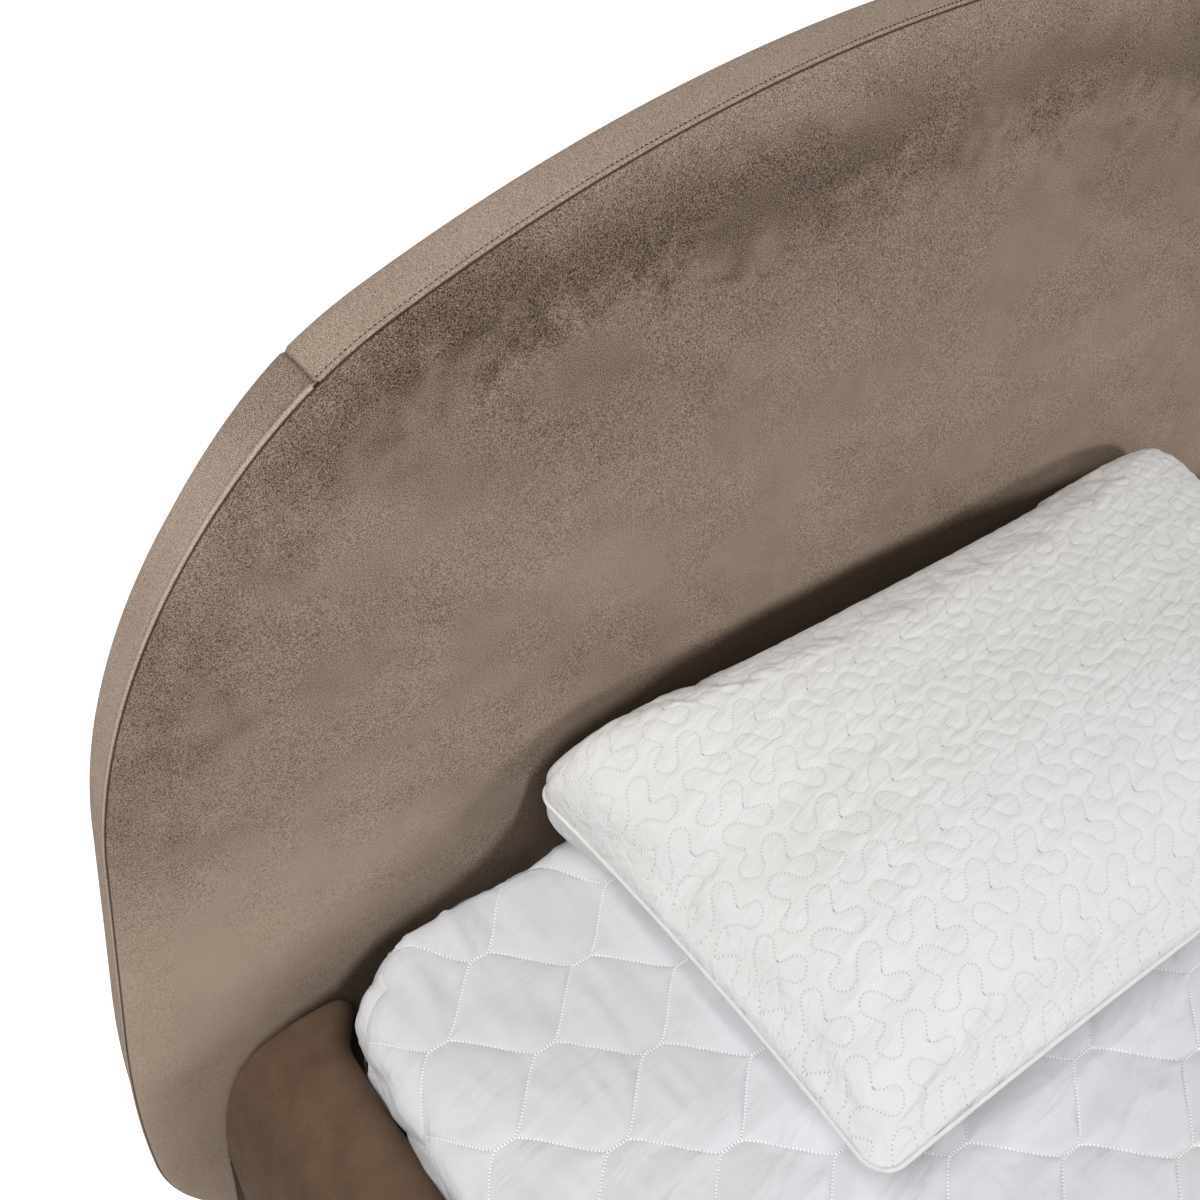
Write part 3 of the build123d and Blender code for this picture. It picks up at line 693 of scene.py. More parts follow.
def band_rule(start, end, stitched):
    """The rule for a band from one distance along the outline to another."""

    def lay(u, v):
        along = start + u * (end - start)
        on_path = along % outline.length
        row = np.rint(v * band_rows).astype(int)
        out, back = band_out[row], band_back[row]
        to_end = np.minimum(along - start, end - along)
        from_top = np.minimum(abs(on_path - cross_seam), abs(outline.length - cross_seam - on_path))
        dip = seam_dip * np.exp(-back / (1.4 * mm)) + end_dip * np.exp(-to_end / (1.3 * mm))
        if stitched:
            dip = dip + stitch_dip * hump(back, stitch_line, 1.6 * mm)
        else:
            drawn = ramp(from_top, draw_in_start) * ramp(back, flat_depth) ** 1.3
            dip = dip + side_draw_in * drawn * (1 - 0.5 * ramp(back, back_edge_radius, flat_depth))
        dip = dip - fold_rise * hump(back, 3.5 * mm, 2.5 * mm)
        on_rim = off_outline(on_path, 0 * back, seam_y + back)
        wavy = uneven(on_rim, (0.7 * mm, 0.09, 4)) * ramp(back, 20 * mm)
        out = out - dip + np.where(back < flat_depth, wavy, 0)
        place = off_outline(on_path, out, seam_y + back)
        return place, np.stack([along, back - out], axis=1), {"seam": back, "from_top": from_top}

    return lay


# %% Three lengths of band
inside_headboard = (0, seam_y + 20 * mm, 0.6)
top_start, top_end = outline.length - cross_seam, outline.length + cross_seam
top_band = lay_cloth("headboard_top_band_cloth", 420, band_rows, band_rule(top_start, top_end, True),
                     inside=inside_headboard, thickness=cloth_thickness)
dress(top_band, band_velvet, "bed_frame", "velvet", "headboard_top_band", fill=0.9)
for side_name, side_start in (("right", cross_seam), ("left", outline.length / 2)):
    side_end = side_start + outline.length / 2 - cross_seam
    side_band = lay_cloth(f"headboard_side_band_cloth_{side_name}", 520, band_rows,
                          band_rule(side_start, side_end, False), inside=inside_headboard,
                          thickness=cloth_thickness)
    dress(side_band, side_velvet, "bed_frame", "velvet", f"headboard_side_band_{side_name}", fill=0.9)
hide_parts("headboard_edge_foam")

# %% [markdown]
# ## Topstitching
# A row of short stitches runs 8 mm behind the seam along the arch. One stitch is modelled,
# an Array modifier repeats it in a straight row, and the row is then wrapped round the
# outline. Only a few faces are spent on each, because there are hundreds.

# %% A straight row wrapped along a path
stitch_length, stitch_pitch, thread_thickness = 3.4 * mm, 4.6 * mm, 0.9 * mm
thread_sunk = 0.35 * mm
end_gap = 4 * mm


def stitch_row(name, length, pitch, stitch, thick):
    """A straight row of stitches along +X from the origin."""
    bpy.ops.object.select_all(action="DESELECT")
    bpy.ops.mesh.primitive_uv_sphere_add(segments=6, ring_count=4, radius=0.5)
    row = bpy.context.object
    row.name = name
    row.data.name = name
    bpy.ops.transform.resize(value=(stitch, thick, thick))
    bpy.ops.object.transform_apply(location=False, rotation=False, scale=True)
    array = row.modifiers.new("row", "ARRAY")
    array.count = int(length / pitch)
    array.use_relative_offset = False
    array.use_constant_offset = True
    array.constant_offset_displace = (length / array.count, 0, 0)
    bpy.ops.object.modifier_apply(modifier=array.name)
    bpy.ops.object.shade_smooth()
    return row


def wrap(piece, where):
    """Moves a piece's points by a rule from their straight place to their wrapped place."""
    flat = np.empty(3 * len(piece.data.vertices))
    piece.data.vertices.foreach_get("co", flat)
    piece.data.vertices.foreach_set("co", where(flat.reshape(-1, 3)).ravel())
    piece.data.update()


def round_the_arch(points):
    """Where points of a straight row come to lie on the top band."""
    along = (top_start + end_gap + points[:, 0]) % outline.length
    return off_outline(along, points[:, 2] - thread_sunk, seam_y + stitch_line + points[:, 1])


thread = velvet("stitch_thread", "33241a", "4f3f32", level=0.5, brushing=0.1)
top_stitches = stitch_row("headboard_topstitching", 2 * (cross_seam - end_gap), stitch_pitch,
                          stitch_length, thread_thickness)
wrap(top_stitches, round_the_arch)
dress(top_stitches, thread, "bed_frame", "velvet")

# %% [markdown]
# ## The back of the headboard
# The back is one flat sheet of the same velvet, stapled under the turned-in band. It is
# stretched over open timber, and sinks a little and unevenly towards its middle.

# %% Back sheet
sheet_inset = back_edge_radius + turn_in + 1 * mm


def lay_back(u, v):
    """The rule for the back: u goes round the sheet and v from its edge to the middle."""
    rim = outline.place(u * outline.length) - outline.outward(u * outline.length) * sheet_inset
    flat, place = towards_middle(rim, 1 - v)
    sink = uneven(place, (0.5 * mm, 0.15, 5)) + 0.6 * mm * (1 + v)
    place[:, 1] = back_y - np.where(v == 0, 1.0 * mm, sink)
    return place, flat, {"seam": 0.2 + 0 * u, "from_top": 1 + 0 * u}


back_sheet = lay_cloth("headboard_back", 360, 40, lay_back, inside=(0, seam_y, 0.6), thickness=1.6 * mm)
dress(back_sheet, side_velvet, "bed_frame", "velvet", "headboard_back_cover", fill=0.5)

# %% [markdown]
# ## The padded rails
# Each rail is a fat roll of foam over timber: a little swollen inside, where the mattress
# stands, and rounded in one big sweep from the top to the outer face. The section is drawn
# once and carried along a path, straight for the sides and round two corners for the foot.
# At each end the cloth is drawn in over a small radius and closed, because the rails come
# apart.

# %% Rail section and rule
rail_low, rail_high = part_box("rail_cover_right")
inner_x, outer_x = rail_low.x, rail_high.x
rail_bottom, rail_top = rail_low.z, rail_high.z
rail_thickness = outer_x - inner_x
edge_radius = 12 * mm
rail_flat = 18 * mm
round_height = 170 * mm
lower_radius = 40 * mm
inner_bulge = 16 * mm
bulge_start, bulge_full = 150 * mm, 28 * mm
head_crowd, crowd_reach = 26 * mm, 28 * mm
crowd_from, crowd_fades = 240 * mm, 160 * mm


def rail_outline():
    """The rail's section, from its inner foot up, over the top and down the outside."""
    foot_in, foot_out = rail_bottom + edge_radius, rail_bottom + lower_radius
    return np.vstack([
        arc((0, foot_in), (0, 1), (0, rail_top - bulge_start)),
        two_arcs((0, rail_top - bulge_start), (0, 1), (-inner_bulge, rail_top - bulge_full), (0, 1)),
        two_arcs((-inner_bulge, rail_top - bulge_full), (0, 1), (edge_radius, rail_top), (1, 0)),
        arc((edge_radius, rail_top), (1, 0), (rail_flat, rail_top))[::8],
        two_arcs((rail_flat, rail_top), (1, 0), (rail_thickness, rail_top - round_height), (0, -1)),
        arc((rail_thickness, rail_top - round_height), (0, -1), (rail_thickness, foot_out)),
        arc((rail_thickness, foot_out), (0, -1), (rail_thickness - lower_radius, rail_bottom)),
        arc((rail_thickness - lower_radius, rail_bottom), (-1, 0), (edge_radius, rail_bottom)),
        arc((edge_radius, rail_bottom), (-1, 0), (0, foot_in)),
        [(0, foot_in)],
    ])


section = Path(rail_outline())
section_middle = np.array([rail_thickness * 0.45, (rail_bottom + rail_top) / 2])
end_roll = 5 * mm
far_away = 9.0
print("round a rail:", round(section.length, 3), "m")


def rail_stations(length, gap):
    """Distances along a rail, how far the cloth is drawn in there, and how closed it is."""
    turn = np.linspace(0, math.pi / 2, 7)
    roll_along = end_roll * (1 - np.cos(turn))
    roll_in = end_roll * (1 - np.sin(turn))
    share = np.linspace(0, 1, max(8, int(length / gap)))[1:-1]
    middle = end_roll + (length - 2 * end_roll) * (share + np.sin(2 * math.pi * share) / -12)
    along = np.concatenate([[0, 0, 0], roll_along, middle, length - roll_along[::-1], [length] * 3])
    drawn = np.concatenate([[end_roll] * 3, roll_in, 0 * middle, roll_in[::-1], [end_roll] * 3])
    open_share = np.concatenate([[0, 0.5, 0.9], 1 + 0 * turn, 1 + 0 * middle, 1 + 0 * turn, [0.9, 0.5, 0]])
    return along, drawn, open_share


def set_across(base, side, ring):
    """A section's points, set up across a path that is seen from above."""
    return np.column_stack([base + side * ring[:, :1], ring[:, 1]])


def rail_rule(path, gap, seed, head=None):
    """The rule for a padded rail whose inner face follows a path seen from above."""
    along, drawn, open_share = rail_stations(path.length, gap)
    from_head = far_away + 0 * along if head is None else abs(along - head)

    def lay(u, v):
        row = np.rint(v * (len(along) - 1)).astype(int)
        round_it = u * section.length
        ring = section.place(round_it)
        face = section.outward(round_it)
        crowd = head_crowd * hump(from_head[row], 0, crowd_reach) * ramp(ring[:, 1], crowd_fades, crowd_from)
        ring[:, 0] -= crowd * (1 - ramp(ring[:, 0], 60 * mm))
        base = path.place(along[row])
        side = path.outward(along[row])
        to_end = np.minimum(along[row], path.length - along[row])
        calm = ramp(to_end, 40 * mm) * ramp(ring[:, 0], 20 * mm, 4 * mm)
        spot = set_across(base, side, ring)
        wavy = uneven(spot, (0.9 * mm, 0.16, seed), (0.4 * mm, 0.05, seed + 1)) - 0.6 * mm
        ring = ring + face * (wavy * calm - drawn[row])[:, None]
        ring = section_middle + (ring - section_middle) * open_share[row][:, None]
        place = set_across(base, side, ring)
        return place, np.stack([along[row], round_it], axis=1), {"seam": 0.2 + 0 * u}

    return lay, len(along) - 1


# %% Two side rails and the foot rail
rail_head_y, rail_foot_y = rail_high.y, rail_low.y
foot_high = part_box("foot_cover")[1]
foot_inner_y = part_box("foot_cover")[0].y + rail_thickness
foot_corner = 60 * mm
corner_y, corner_x = foot_inner_y + foot_corner, inner_x - foot_corner
foot_path = path_through([
    ((inner_x, foot_high.y), (0, -1)), ((inner_x, corner_y), (0, -1)), ((corner_x, foot_inner_y), (-1, 0)),
    ((-corner_x, foot_inner_y), (-1, 0)), ((-inner_x, corner_y), (0, 1)), ((-inner_x, foot_high.y), (0, 1)),
])
rail_paths = {
    "rail_cloth_right": (Path([(inner_x, rail_head_y), (inner_x, rail_foot_y)]), "right"),
    "rail_cloth_left": (Path([(-inner_x, rail_foot_y), (-inner_x, rail_head_y)]), "left"),
}
for rail_name, (path, side_name) in rail_paths.items():
    lay, rows = rail_rule(path, 14 * mm, 10, head=0.0 if side_name == "right" else path.length)
    rail = lay_cloth(rail_name, 150, rows, lay)
    dress(rail, rail_velvet_with_painted_shade, "bed_frame", "velvet", f"rail_cover_{side_name}", f"rail_foam_{side_name}",
          fill=0.9)
lay, rows = rail_rule(foot_path, 9 * mm, 20)
foot_rail = lay_cloth("foot_cloth", 150, rows, lay)
dress(foot_rail, rail_velvet_with_painted_shade, "bed_frame", "velvet", "foot_cover", "foot_foam", fill=0.9)

# %% [markdown]
# ## The quilted mattress cover
# Wavy lines of stitching cross the bed. Each line is the mirror of the next, so neighbours
# touch and part again and leave rows of puffed cells, 160 mm wide and 115 mm long. The grid
# is laid with its rows on those lines, so every crease is crisp, and the cells between them
# swell. At the edges the cloth turns down in a roll and the cells go over it.

# %% Distance to drawn lines
def search_tree(spots):
    """A tree that finds which of some spots are nearest to a place."""
    tree = kdtree.KDTree(len(spots))
    for index, spot in enumerate(spots):
        tree.insert(spot, index)
    tree.balance()
    return tree


def near_lines(points, samples, order, run):
    """Signed distance to the nearest of some lines, and how far along that line it is."""
    tree = search_tree([(x, y, 0) for x, y in samples])
    nearest = np.array([tree.find((x, y, 0))[1] for x, y in points])
    way = np.gradient(samples, axis=0)
    way = way / np.linalg.norm(way, axis=1, keepdims=True)
    offset = points - samples[nearest]
    tangent = way[nearest]
    across = tangent[:, 0] * offset[:, 1] - tangent[:, 1] * offset[:, 0]
    sign = 1 - 2 * (order[nearest] % 2)
    return across * sign, run[nearest] + (offset * tangent).sum(axis=1)


# %% Quilting lines
bed_low, bed_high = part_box("mattress_cover")
side_gap = 6 * mm
bed_half = np.array([(bed_high.x - bed_low.x) / 2 - side_gap, (bed_high.y - bed_low.y) / 2])
bed_middle = np.array([0.0, (bed_low.y + bed_high.y) / 2])
bed_top = bed_high.z
bed_corner, bed_edge = 85 * mm, 38 * mm
cell_width, line_gap = 160 * mm, 57.5 * mm
node_x, node_y = -462 * mm, seam_y - 97 * mm
first_y = node_y + line_gap / 2
quilt_depth = 7.5 * mm
quilt_drop = 58 * mm
quilt_reach = bed_half - bed_edge + bed_edge * math.pi / 2 + quilt_drop
print("the quilt, laid flat:", np.round(2 * quilt_reach, 3), "m")


def swing(x):
    """How far an even line swings at x: flat where it meets its neighbour, straight between."""
    way = 1 - abs(1 - 2 * (((x - node_x) / cell_width) % 1))
    share = ramp(way, 0.74, 0.13)
    return line_gap / 2 * 0.985 * (1 - 2 * (0.7 * share + 0.3 * share ** 2 * (3 - 2 * share)))


def line_y(number, x):
    """Y of a stitched line at x; a whole number is a line, and between them is cloth."""
    low = np.floor(number)
    turn = np.where(low % 2 == 0, -1, 1) * swing(x)
    lower = first_y + low * line_gap + turn
    upper = first_y + (low + 1) * line_gap - turn
    return lower + (upper - lower) * (number - low)


def quilt_lines(plan):
    """Signed distance to the quilting, from one folded cell, and the run along the line."""
    low = np.floor((plan[:, 1] - first_y) / line_gap)
    odd = low % 2
    local = np.column_stack([(plan[:, 0] - node_x + odd * cell_width / 2) % cell_width,
                             plan[:, 1] - first_y - low * line_gap])
    margin = 60 * mm
    x = np.arange(-margin, cell_width + margin, 0.8 * mm)
    samples, order = [], []
    for number in (-1, 0, 1, 2):
        samples.append(np.column_stack([x, number * line_gap - (1 - 2 * (number % 2)) * swing(x + node_x)]))
        order.append(np.full(len(x), number))
    gap, across = near_lines(local, np.vstack(samples), np.concatenate(order), np.tile(x, 4))
    whole = np.arange(-1.2, 1.2, 1 * mm)
    run = np.concatenate([[0], np.cumsum(np.hypot(np.diff(whole), np.diff(swing(whole))))])
    return gap * (1 - 2 * odd), np.interp(across + plan[:, 0] - local[:, 0], whole, run)


def round_corner(local, half, corner):
    """Splits places in a rectangle at its round corners.

    Returns the side of the middle, the part up to the corner's own square, and then the way
    and the distance past it.
    """
    side = np.sign(local) + (local == 0)
    past = np.maximum(abs(local) - (half - corner), 0)
    away = past / np.maximum(np.linalg.norm(past, axis=1), 1e-9)[:, None]
    return side, np.minimum(abs(local), half - corner), away, past.max(axis=1)


def over_the_edge(plan):
    """Folds a flat sheet over the mattress's rounded edge; returns place and outward way."""
    side, near, away, far = round_corner(plan - bed_middle, bed_half, bed_corner)
    flat = bed_corner - bed_edge
    turn = np.clip((far - flat) / bed_edge, 0, math.pi / 2)
    down = np.maximum(far - flat - bed_edge * math.pi / 2, 0)
    out = np.minimum(far, flat) + bed_edge * np.sin(turn)
    drop = bed_edge * (1 - np.cos(turn)) + down
    ground = bed_middle + side * (near + away * out[:, None])
    lean = side * away * np.sin(turn)[:, None]
    return np.column_stack([ground, bed_top - drop]), np.column_stack([lean, np.cos(turn)])


# %% Quilt rule
strip_rows = 10
first_line = math.floor((bed_middle[1] - quilt_reach[1] - first_y) / line_gap) - 1
last_line = math.ceil((bed_middle[1] + quilt_reach[1] - first_y) / line_gap) + 1
quilt_rows = (last_line - first_line) * strip_rows
puff_reach, puff_gap = 50 * mm, 2.6 * mm
head_push, head_push_way = 16 * mm, (0, 0.5, 0.85)
push_from_edge, push_width = 18 * mm, 38 * mm


def lay_quilt(u, v):
    """The rule for the quilt: u goes across the bed and v along it, from line to line."""
    x = (2 * u - 1) * quilt_reach[0]
    row = np.rint(v * quilt_rows)
    line = first_line + np.floor(row / strip_rows)
    share = (1 - np.cos(math.pi * (row % strip_rows) / strip_rows)) / 2
    y = line_y(line + share, x)
    low, high = (bed_middle[1] + way * quilt_reach[1] for way in (-1, 1))
    plan = np.column_stack([x, np.clip(y, low, high)])
    gap, run = quilt_lines(plan)
    far = abs(gap)
    flat_spot = np.column_stack([plan, 0 * x])
    puff = 1 - (1 - ramp(far, puff_reach)) ** 2.3
    pull = np.exp(-far / (16 * mm)) * ramp(far, 4 * mm)
    from_head = bed_middle[1] + bed_half[1] - plan[:, 1]
    beside = folded(np.column_stack([run, plan]), 2.0, (1.6 * mm, (0.012, 0.2, 0.2), 31))
    on_cells = folded(flat_spot, 2.4, (2.8 * mm, (0.06, 0.026, 1), 32), (1.7 * mm, (0.022, 0.034, 1), 34))
    at_head = folded(flat_spot, 2.5, (1.6 * mm, (0.035, 0.09, 1), 35)) * hump(from_head, 0, 170 * mm)
    lumps = uneven(flat_spot, (1.3 * mm, 0.07, 33))
    creases = beside * pull + (on_cells + at_head + lumps) * puff
    height = np.minimum(-quilt_depth + (quilt_depth - puff_gap) * puff + creases, 0)
    place, way = over_the_edge(plan)
    off_side = ramp(bed_half[0] - abs(plan[:, 0]), 60 * mm, 30 * mm)
    pushed_up = head_push * hump(from_head, push_from_edge, push_width) * off_side
    place += pushed_up[:, None] * head_push_way
    return place + way * height[:, None], plan, {"stitch": gap, "run": run}


inside_mattress = (0, 0, 0.38)
quilt = lay_cloth("mattress_quilt", 400, quilt_rows, lay_quilt, inside=inside_mattress)
dress(quilt, quilt_cotton, "mattress", "quilted_cotton", "mattress_cover", "mattress_core", fill=0.7)

# %% [markdown]
# ## The mattress skirt
# Below the quilting, the cover goes on as a plain skirt that is drawn under the mattress.
# Only its top shows above the rails. It is laid round the block in rings and closed below.

# %% Skirt
half_x, half_y = bed_half
straight_x, straight_y = bed_half - bed_corner
skirt_stops = [
    ((straight_x, half_y), (1, 0)), ((half_x, straight_y), (0, -1)),
    ((half_x, -straight_y), (0, -1)), ((straight_x, -half_y), (-1, 0)),
    ((-straight_x, -half_y), (-1, 0)), ((-half_x, -straight_y), (0, 1)),
    ((-half_x, straight_y), (0, 1)), ((-straight_x, half_y), (1, 0)),
]
skirt_path = Path(path_through(skirt_stops + skirt_stops[:1]).points + bed_middle)
skirt_inset, under_quilt = 3 * mm, 6 * mm
skirt_top = bed_top - bed_edge - quilt_drop + under_quilt
skirt_bottom = bed_low.z
skirt_turn = np.linspace(0, math.pi / 2, 8)
skirt_fall = np.linspace(0, skirt_top - skirt_bottom - bed_edge, 12)
skirt_z = np.concatenate([skirt_top - skirt_fall, skirt_bottom + bed_edge * (1 - np.sin(skirt_turn[1:])),
                          [skirt_bottom] * 3])
skirt_in = skirt_inset + np.concatenate([0 * skirt_fall, bed_edge * (1 - np.cos(skirt_turn[1:])),
                                         [bed_edge] * 3])
skirt_open = np.concatenate([1 + 0 * skirt_z[:-3], [0.7, 0.3, 0.0]])


def unstitched(u):
    """What plain cloth carries in place of its distance to stitches."""
    return {"stitch": 0.05 + 0 * u, "run": 0 * u}


def lay_skirt(u, v):
    """The rule for the skirt: u goes round the mattress and v down it and in to the middle."""
    row = np.rint(v * (len(skirt_z) - 1)).astype(int)
    along = u * skirt_path.length
    rim = skirt_path.place(along) - skirt_path.outward(along) * skirt_in[row][:, None]
    spot = np.column_stack([rim, 0 * along])
    gathers = uneven(spot, (1.2 * mm, 0.02, 41)) * (skirt_z[row] > skirt_bottom + bed_edge)
    rim = rim + skirt_path.outward(along) * gathers[:, None]
    rim = bed_middle + (rim - bed_middle) * skirt_open[row][:, None]
    return np.column_stack([rim, skirt_z[row]]), np.column_stack([along, skirt_z[row]]), unstitched(u)


skirt = lay_cloth("mattress_skirt", 700, len(skirt_z) - 1, lay_skirt, inside=inside_mattress)
dress(skirt, quilt_cotton, "mattress", "quilted_cotton", "mattress_cover", fill=0.7)

# %% [markdown]
# ## The pillow
# The pillow is long, plump and pushed against the headboard, so its far side stands full
# while its near side slopes gently to a piped seam. Many needles sew it at once, and each
# draws the same wandering line with two loops to the left and two to the right. One loop is
# given as a few points, and all the others are its copies and mirror images.

# %% Meandering stitch lines
pillow_low, pillow_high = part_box("pillow")
needle_gap, motif_height, first_needle = 62 * mm, 62 * mm, 17 * mm
half_motif = np.array([(12, 0), (17, -5), (29, -9), (33, -16), (28, -25), (19, -29), (10, -25),
                       (4, -15), (-2, -8), (-11, -4), (-19, -7), (-23, -15), (-18, -24)]) * 0.91 * mm
mirrored = half_motif * (-1, 1) - (0, motif_height / 2)
motif = np.vstack([half_motif, mirrored])
print("points that draw one wandering loop:", len(motif))


def smooth_through(points, following, steps=14):
    """Points of a smooth curve through some points, that goes on to their copies below."""
    before, start = points[-1:] - following, points
    ends = np.vstack([points[1:], points[:1] + following])
    after = np.vstack([ends[1:], points[1:2] + following])
    before = np.vstack([before, points[:-1]])
    t = np.linspace(0, 1, steps, endpoint=False)[None, :, None]
    a, b, c, d = (part[:, None, :] for part in (before, start, ends, after))
    bend, twist = a - 2.5 * b + 2 * c - d / 2, 1.5 * (b - c) + (d - a) / 2
    return (b + (c - a) * t / 2 + bend * t ** 2 + twist * t ** 3).reshape(-1, 2)


def pillow_lines(plan):
    """Signed distance to the wandering lines, and the run along them."""
    down = np.array([0.0, -motif_height])
    curve = smooth_through(motif, down)
    steps = np.linalg.norm(np.diff(np.vstack([curve, curve[:1] + down]), axis=0), axis=1)
    whole_stitches = round(steps.sum() / needle_pitch) * needle_pitch
    run = np.concatenate([[0], np.cumsum(steps)[:-1]]) * whole_stitches / steps.sum()
    samples, order, runs = [], [], []
    for needle in (-1, 0, 1):
        for drop in (2, 1, 0, -1):
            samples.append(curve + (needle * needle_gap, drop * motif_height))
            order.append(np.full(len(curve), needle))
            runs.append(run)
    needle = np.floor((plan[:, 0] - first_needle) / needle_gap + 0.5)
    local = np.column_stack([plan[:, 0] - first_needle - needle * needle_gap, plan[:, 1] % motif_height])
    gap, along = near_lines(local, np.vstack(samples), np.concatenate(order), np.concatenate(runs))
    return gap * (1 - 2 * (needle % 2)), along


# %% Pillow shape
pillow_middle = np.array([(pillow_low.x + pillow_high.x) / 2, (pillow_low.y + pillow_high.y) / 2])
pillow_half = np.array([pillow_high.x - pillow_low.x, pillow_high.y - pillow_low.y]) / 2
pillow_corner = 26 * mm
drawn_in = 8 * mm
pillow_outset = (4 * mm, 3 * mm)
pillow_skew = 19 * mm
seam_rise, seam_climb = 74 * mm, 30 * mm
crown_gap, belly_depth = 6 * mm, 120 * mm


def pillow_plan(u, v):
    """Place in plan of a point of the square, with rounded corners and drawn-in sides."""
    half = pillow_half + pillow_outset
    local = np.column_stack([2 * u - 1, 2 * v - 1]) * half
    side, near, away, far = round_corner(local, half, pillow_corner)
    plan = side * (near + away * far[:, None])
    share = abs(plan) / half
    plan[:, 0] -= side[:, 0] * drawn_in * (1 - share[:, 1] ** 2) * share[:, 0] ** 3
    plan[:, 1] -= side[:, 1] * drawn_in * (1 - share[:, 0] ** 2) * share[:, 1] ** 3
    plan[:, 0] -= pillow_skew * plan[:, 1] / (2 * half[1])
    return plan


def seam_height(plan):
    """Height of the pillow's seam, which climbs towards the headboard."""
    return pillow_low.z + seam_rise + seam_climb * plan[:, 1] / (2 * pillow_half[1])


def plain_pillow(u, v, top):
    """Places on the pillow's smooth surface, above or below its seam, and its crown there.

    The crown falls to 0 at the seam. A low power slopes gently, as in front, and a high one
    stands full almost up to the seam, as against the headboard.
    """
    plan = pillow_plan(u, v)
    a, b = abs(2 * u - 1), abs(2 * v - 1)
    at_back = ramp(v, 0.35, 0.6)
    along = np.clip(1 - a ** (3.2 + 3.8 * at_back), 0, 1) ** (0.62 - 0.18 * at_back)
    across = np.where(v > 0.5, np.clip(1 - b ** 9, 0, 1) ** 0.45, np.clip(1 - b ** 2.4, 0, 1) ** 0.75)
    crown = along * across
    full = pillow_high.z - crown_gap - (pillow_low.z + seam_rise)
    z = seam_height(plan) + (full if top else -belly_depth) * crown
    return np.column_stack([plan + pillow_middle, np.maximum(z, pillow_low.z)]), crown


def joined(name, faces):
    """Joins the two faces of a pillow at its seam."""
    bpy.ops.object.select_all(action="DESELECT")
    for face in faces:
        face.select_set(True)
    bpy.context.view_layer.objects.active = faces[0]
    bpy.ops.object.join()
    whole = faces[0]
    whole.name = name
    whole.data.name = name
    finish_cloth(whole, (*pillow_middle, pillow_low.z + 60 * mm), 0)
    return whole


# %% [markdown]
# ## Filling the pillow
# A formula gives a pillow's form, but not how its cloth gives way when it is stuffed. So a
# plain copy is remeshed evenly and blown up as cloth, with no gravity because the mattress
# carries it. Only how far each point moved is kept, and never more than 9 mm, because the
# seam and the stitches have to stay where they were laid.

# %% Cloth blown up from inside
settling = 20
furthest_move = 9 * mm


def blown_up(form, voxel, pressure, slack):
    """Blows up a closed form as cloth; returns its points and how far each of them moved."""
    remesh = form.modifiers.new("even", "REMESH")
    remesh.mode = "VOXEL"
    remesh.voxel_size = voxel
    bpy.ops.object.modifier_apply(modifier=remesh.name)
    before = np.empty(3 * len(form.data.vertices))
    form.data.vertices.foreach_get("co", before)
    cloth = form.modifiers.new("cloth", "CLOTH")
    cloth.settings.use_pressure = True
    cloth.settings.uniform_pressure_force = pressure
    cloth.settings.shrink_min = -slack
    cloth.settings.effector_weights.gravity = 0
    for frame_number in range(1, settling + 1):
        bpy.context.scene.frame_set(frame_number)
    blown = form.evaluated_get(bpy.context.evaluated_depsgraph_get())
    after = np.empty_like(before)
    blown.data.vertices.foreach_get("co", after)
    bpy.context.scene.frame_set(1)
    bpy.data.objects.remove(form)
    before, after = before.reshape(-1, 3), after.reshape(-1, 3)
    return before, after - before


def carried(points, before, moves, cap):
    """How far points go with the nearest points of the blown-up form, up to a cap."""
    tree = search_tree(before)
    found = [tree.find_n(spot, 4) for spot in points]
    index = np.array([[near[1] for near in row] for row in found])
    weight = 1 / (np.array([[near[2] for near in row] for row in found]) + 0.5 * mm) ** 2
    moved = (moves[index] * weight[:, :, None]).sum(axis=1) / weight.sum(axis=1)[:, None]
    length = np.maximum(np.linalg.norm(moved, axis=1), 1e-9)
    return moved * (np.minimum(length, cap) / length)[:, None]


def plain_rule(top):
    """The rule for one face of the plain copy."""

    def lay(u, v):
        place = plain_pillow(u, v, top)[0]
        return place, place[:, :2], {}

    return lay


blown = None
faces = [lay_cloth("pillow_form", 150, 80, plain_rule(top)) for top in (True, False)]
blown = blown_up(joined("pillow_form", faces), voxel=7 * mm, pressure=4.0, slack=0.03)
print(f"blown up: {len(blown[0])} points, at most {np.linalg.norm(blown[1], axis=1).max() / mm:.1f} mm")

# %% Pillow rule
stitch_puff = 1.1 * mm
drag_lean = 0.22


def pillow_rule(top):
    """The rule for one of the pillow's two faces."""

    def lay(u, v):
        place, crown = plain_pillow(u, v, top)
        plan = place[:, :2] - pillow_middle
        calm = ramp(crown, 0.2)
        if blown is not None:
            place = place + carried(place, *blown, furthest_move) * calm[:, None]
        if not top:
            place[:, 2] = np.maximum(place[:, 2], pillow_low.z)
            return place, plan, unstitched(u)
        spot = np.column_stack([plan, 0 * u])
        drift = np.column_stack([swells(spot, 0.05, 51), swells(spot, 0.05, 52)]) * 2.5 * mm
        line, run = pillow_lines(plan + drift)
        puff = stitch_puff * (1 - (1 - ramp(abs(line), 9 * mm)) ** 2)
        turned = plan + plan[:, ::-1] * (drag_lean, -drag_lean)
        turned = np.column_stack([turned, 0 * u])
        near_end = 0.22 + 1.2 * np.exp(-(1 - abs(2 * u - 1)) / 0.30)
        drag = folded(turned, 2.2, (1.0 * mm, (0.06, 0.012, 1), 54), (1.2 * mm, (0.14, 0.028, 1), 56))
        lumps = uneven(spot, (1.4 * mm, (0.16, 0.07, 1), 55))
        place[:, 2] += (puff + drag * near_end + lumps) * calm
        return place, plan, {"stitch": line, "run": run}

    return lay


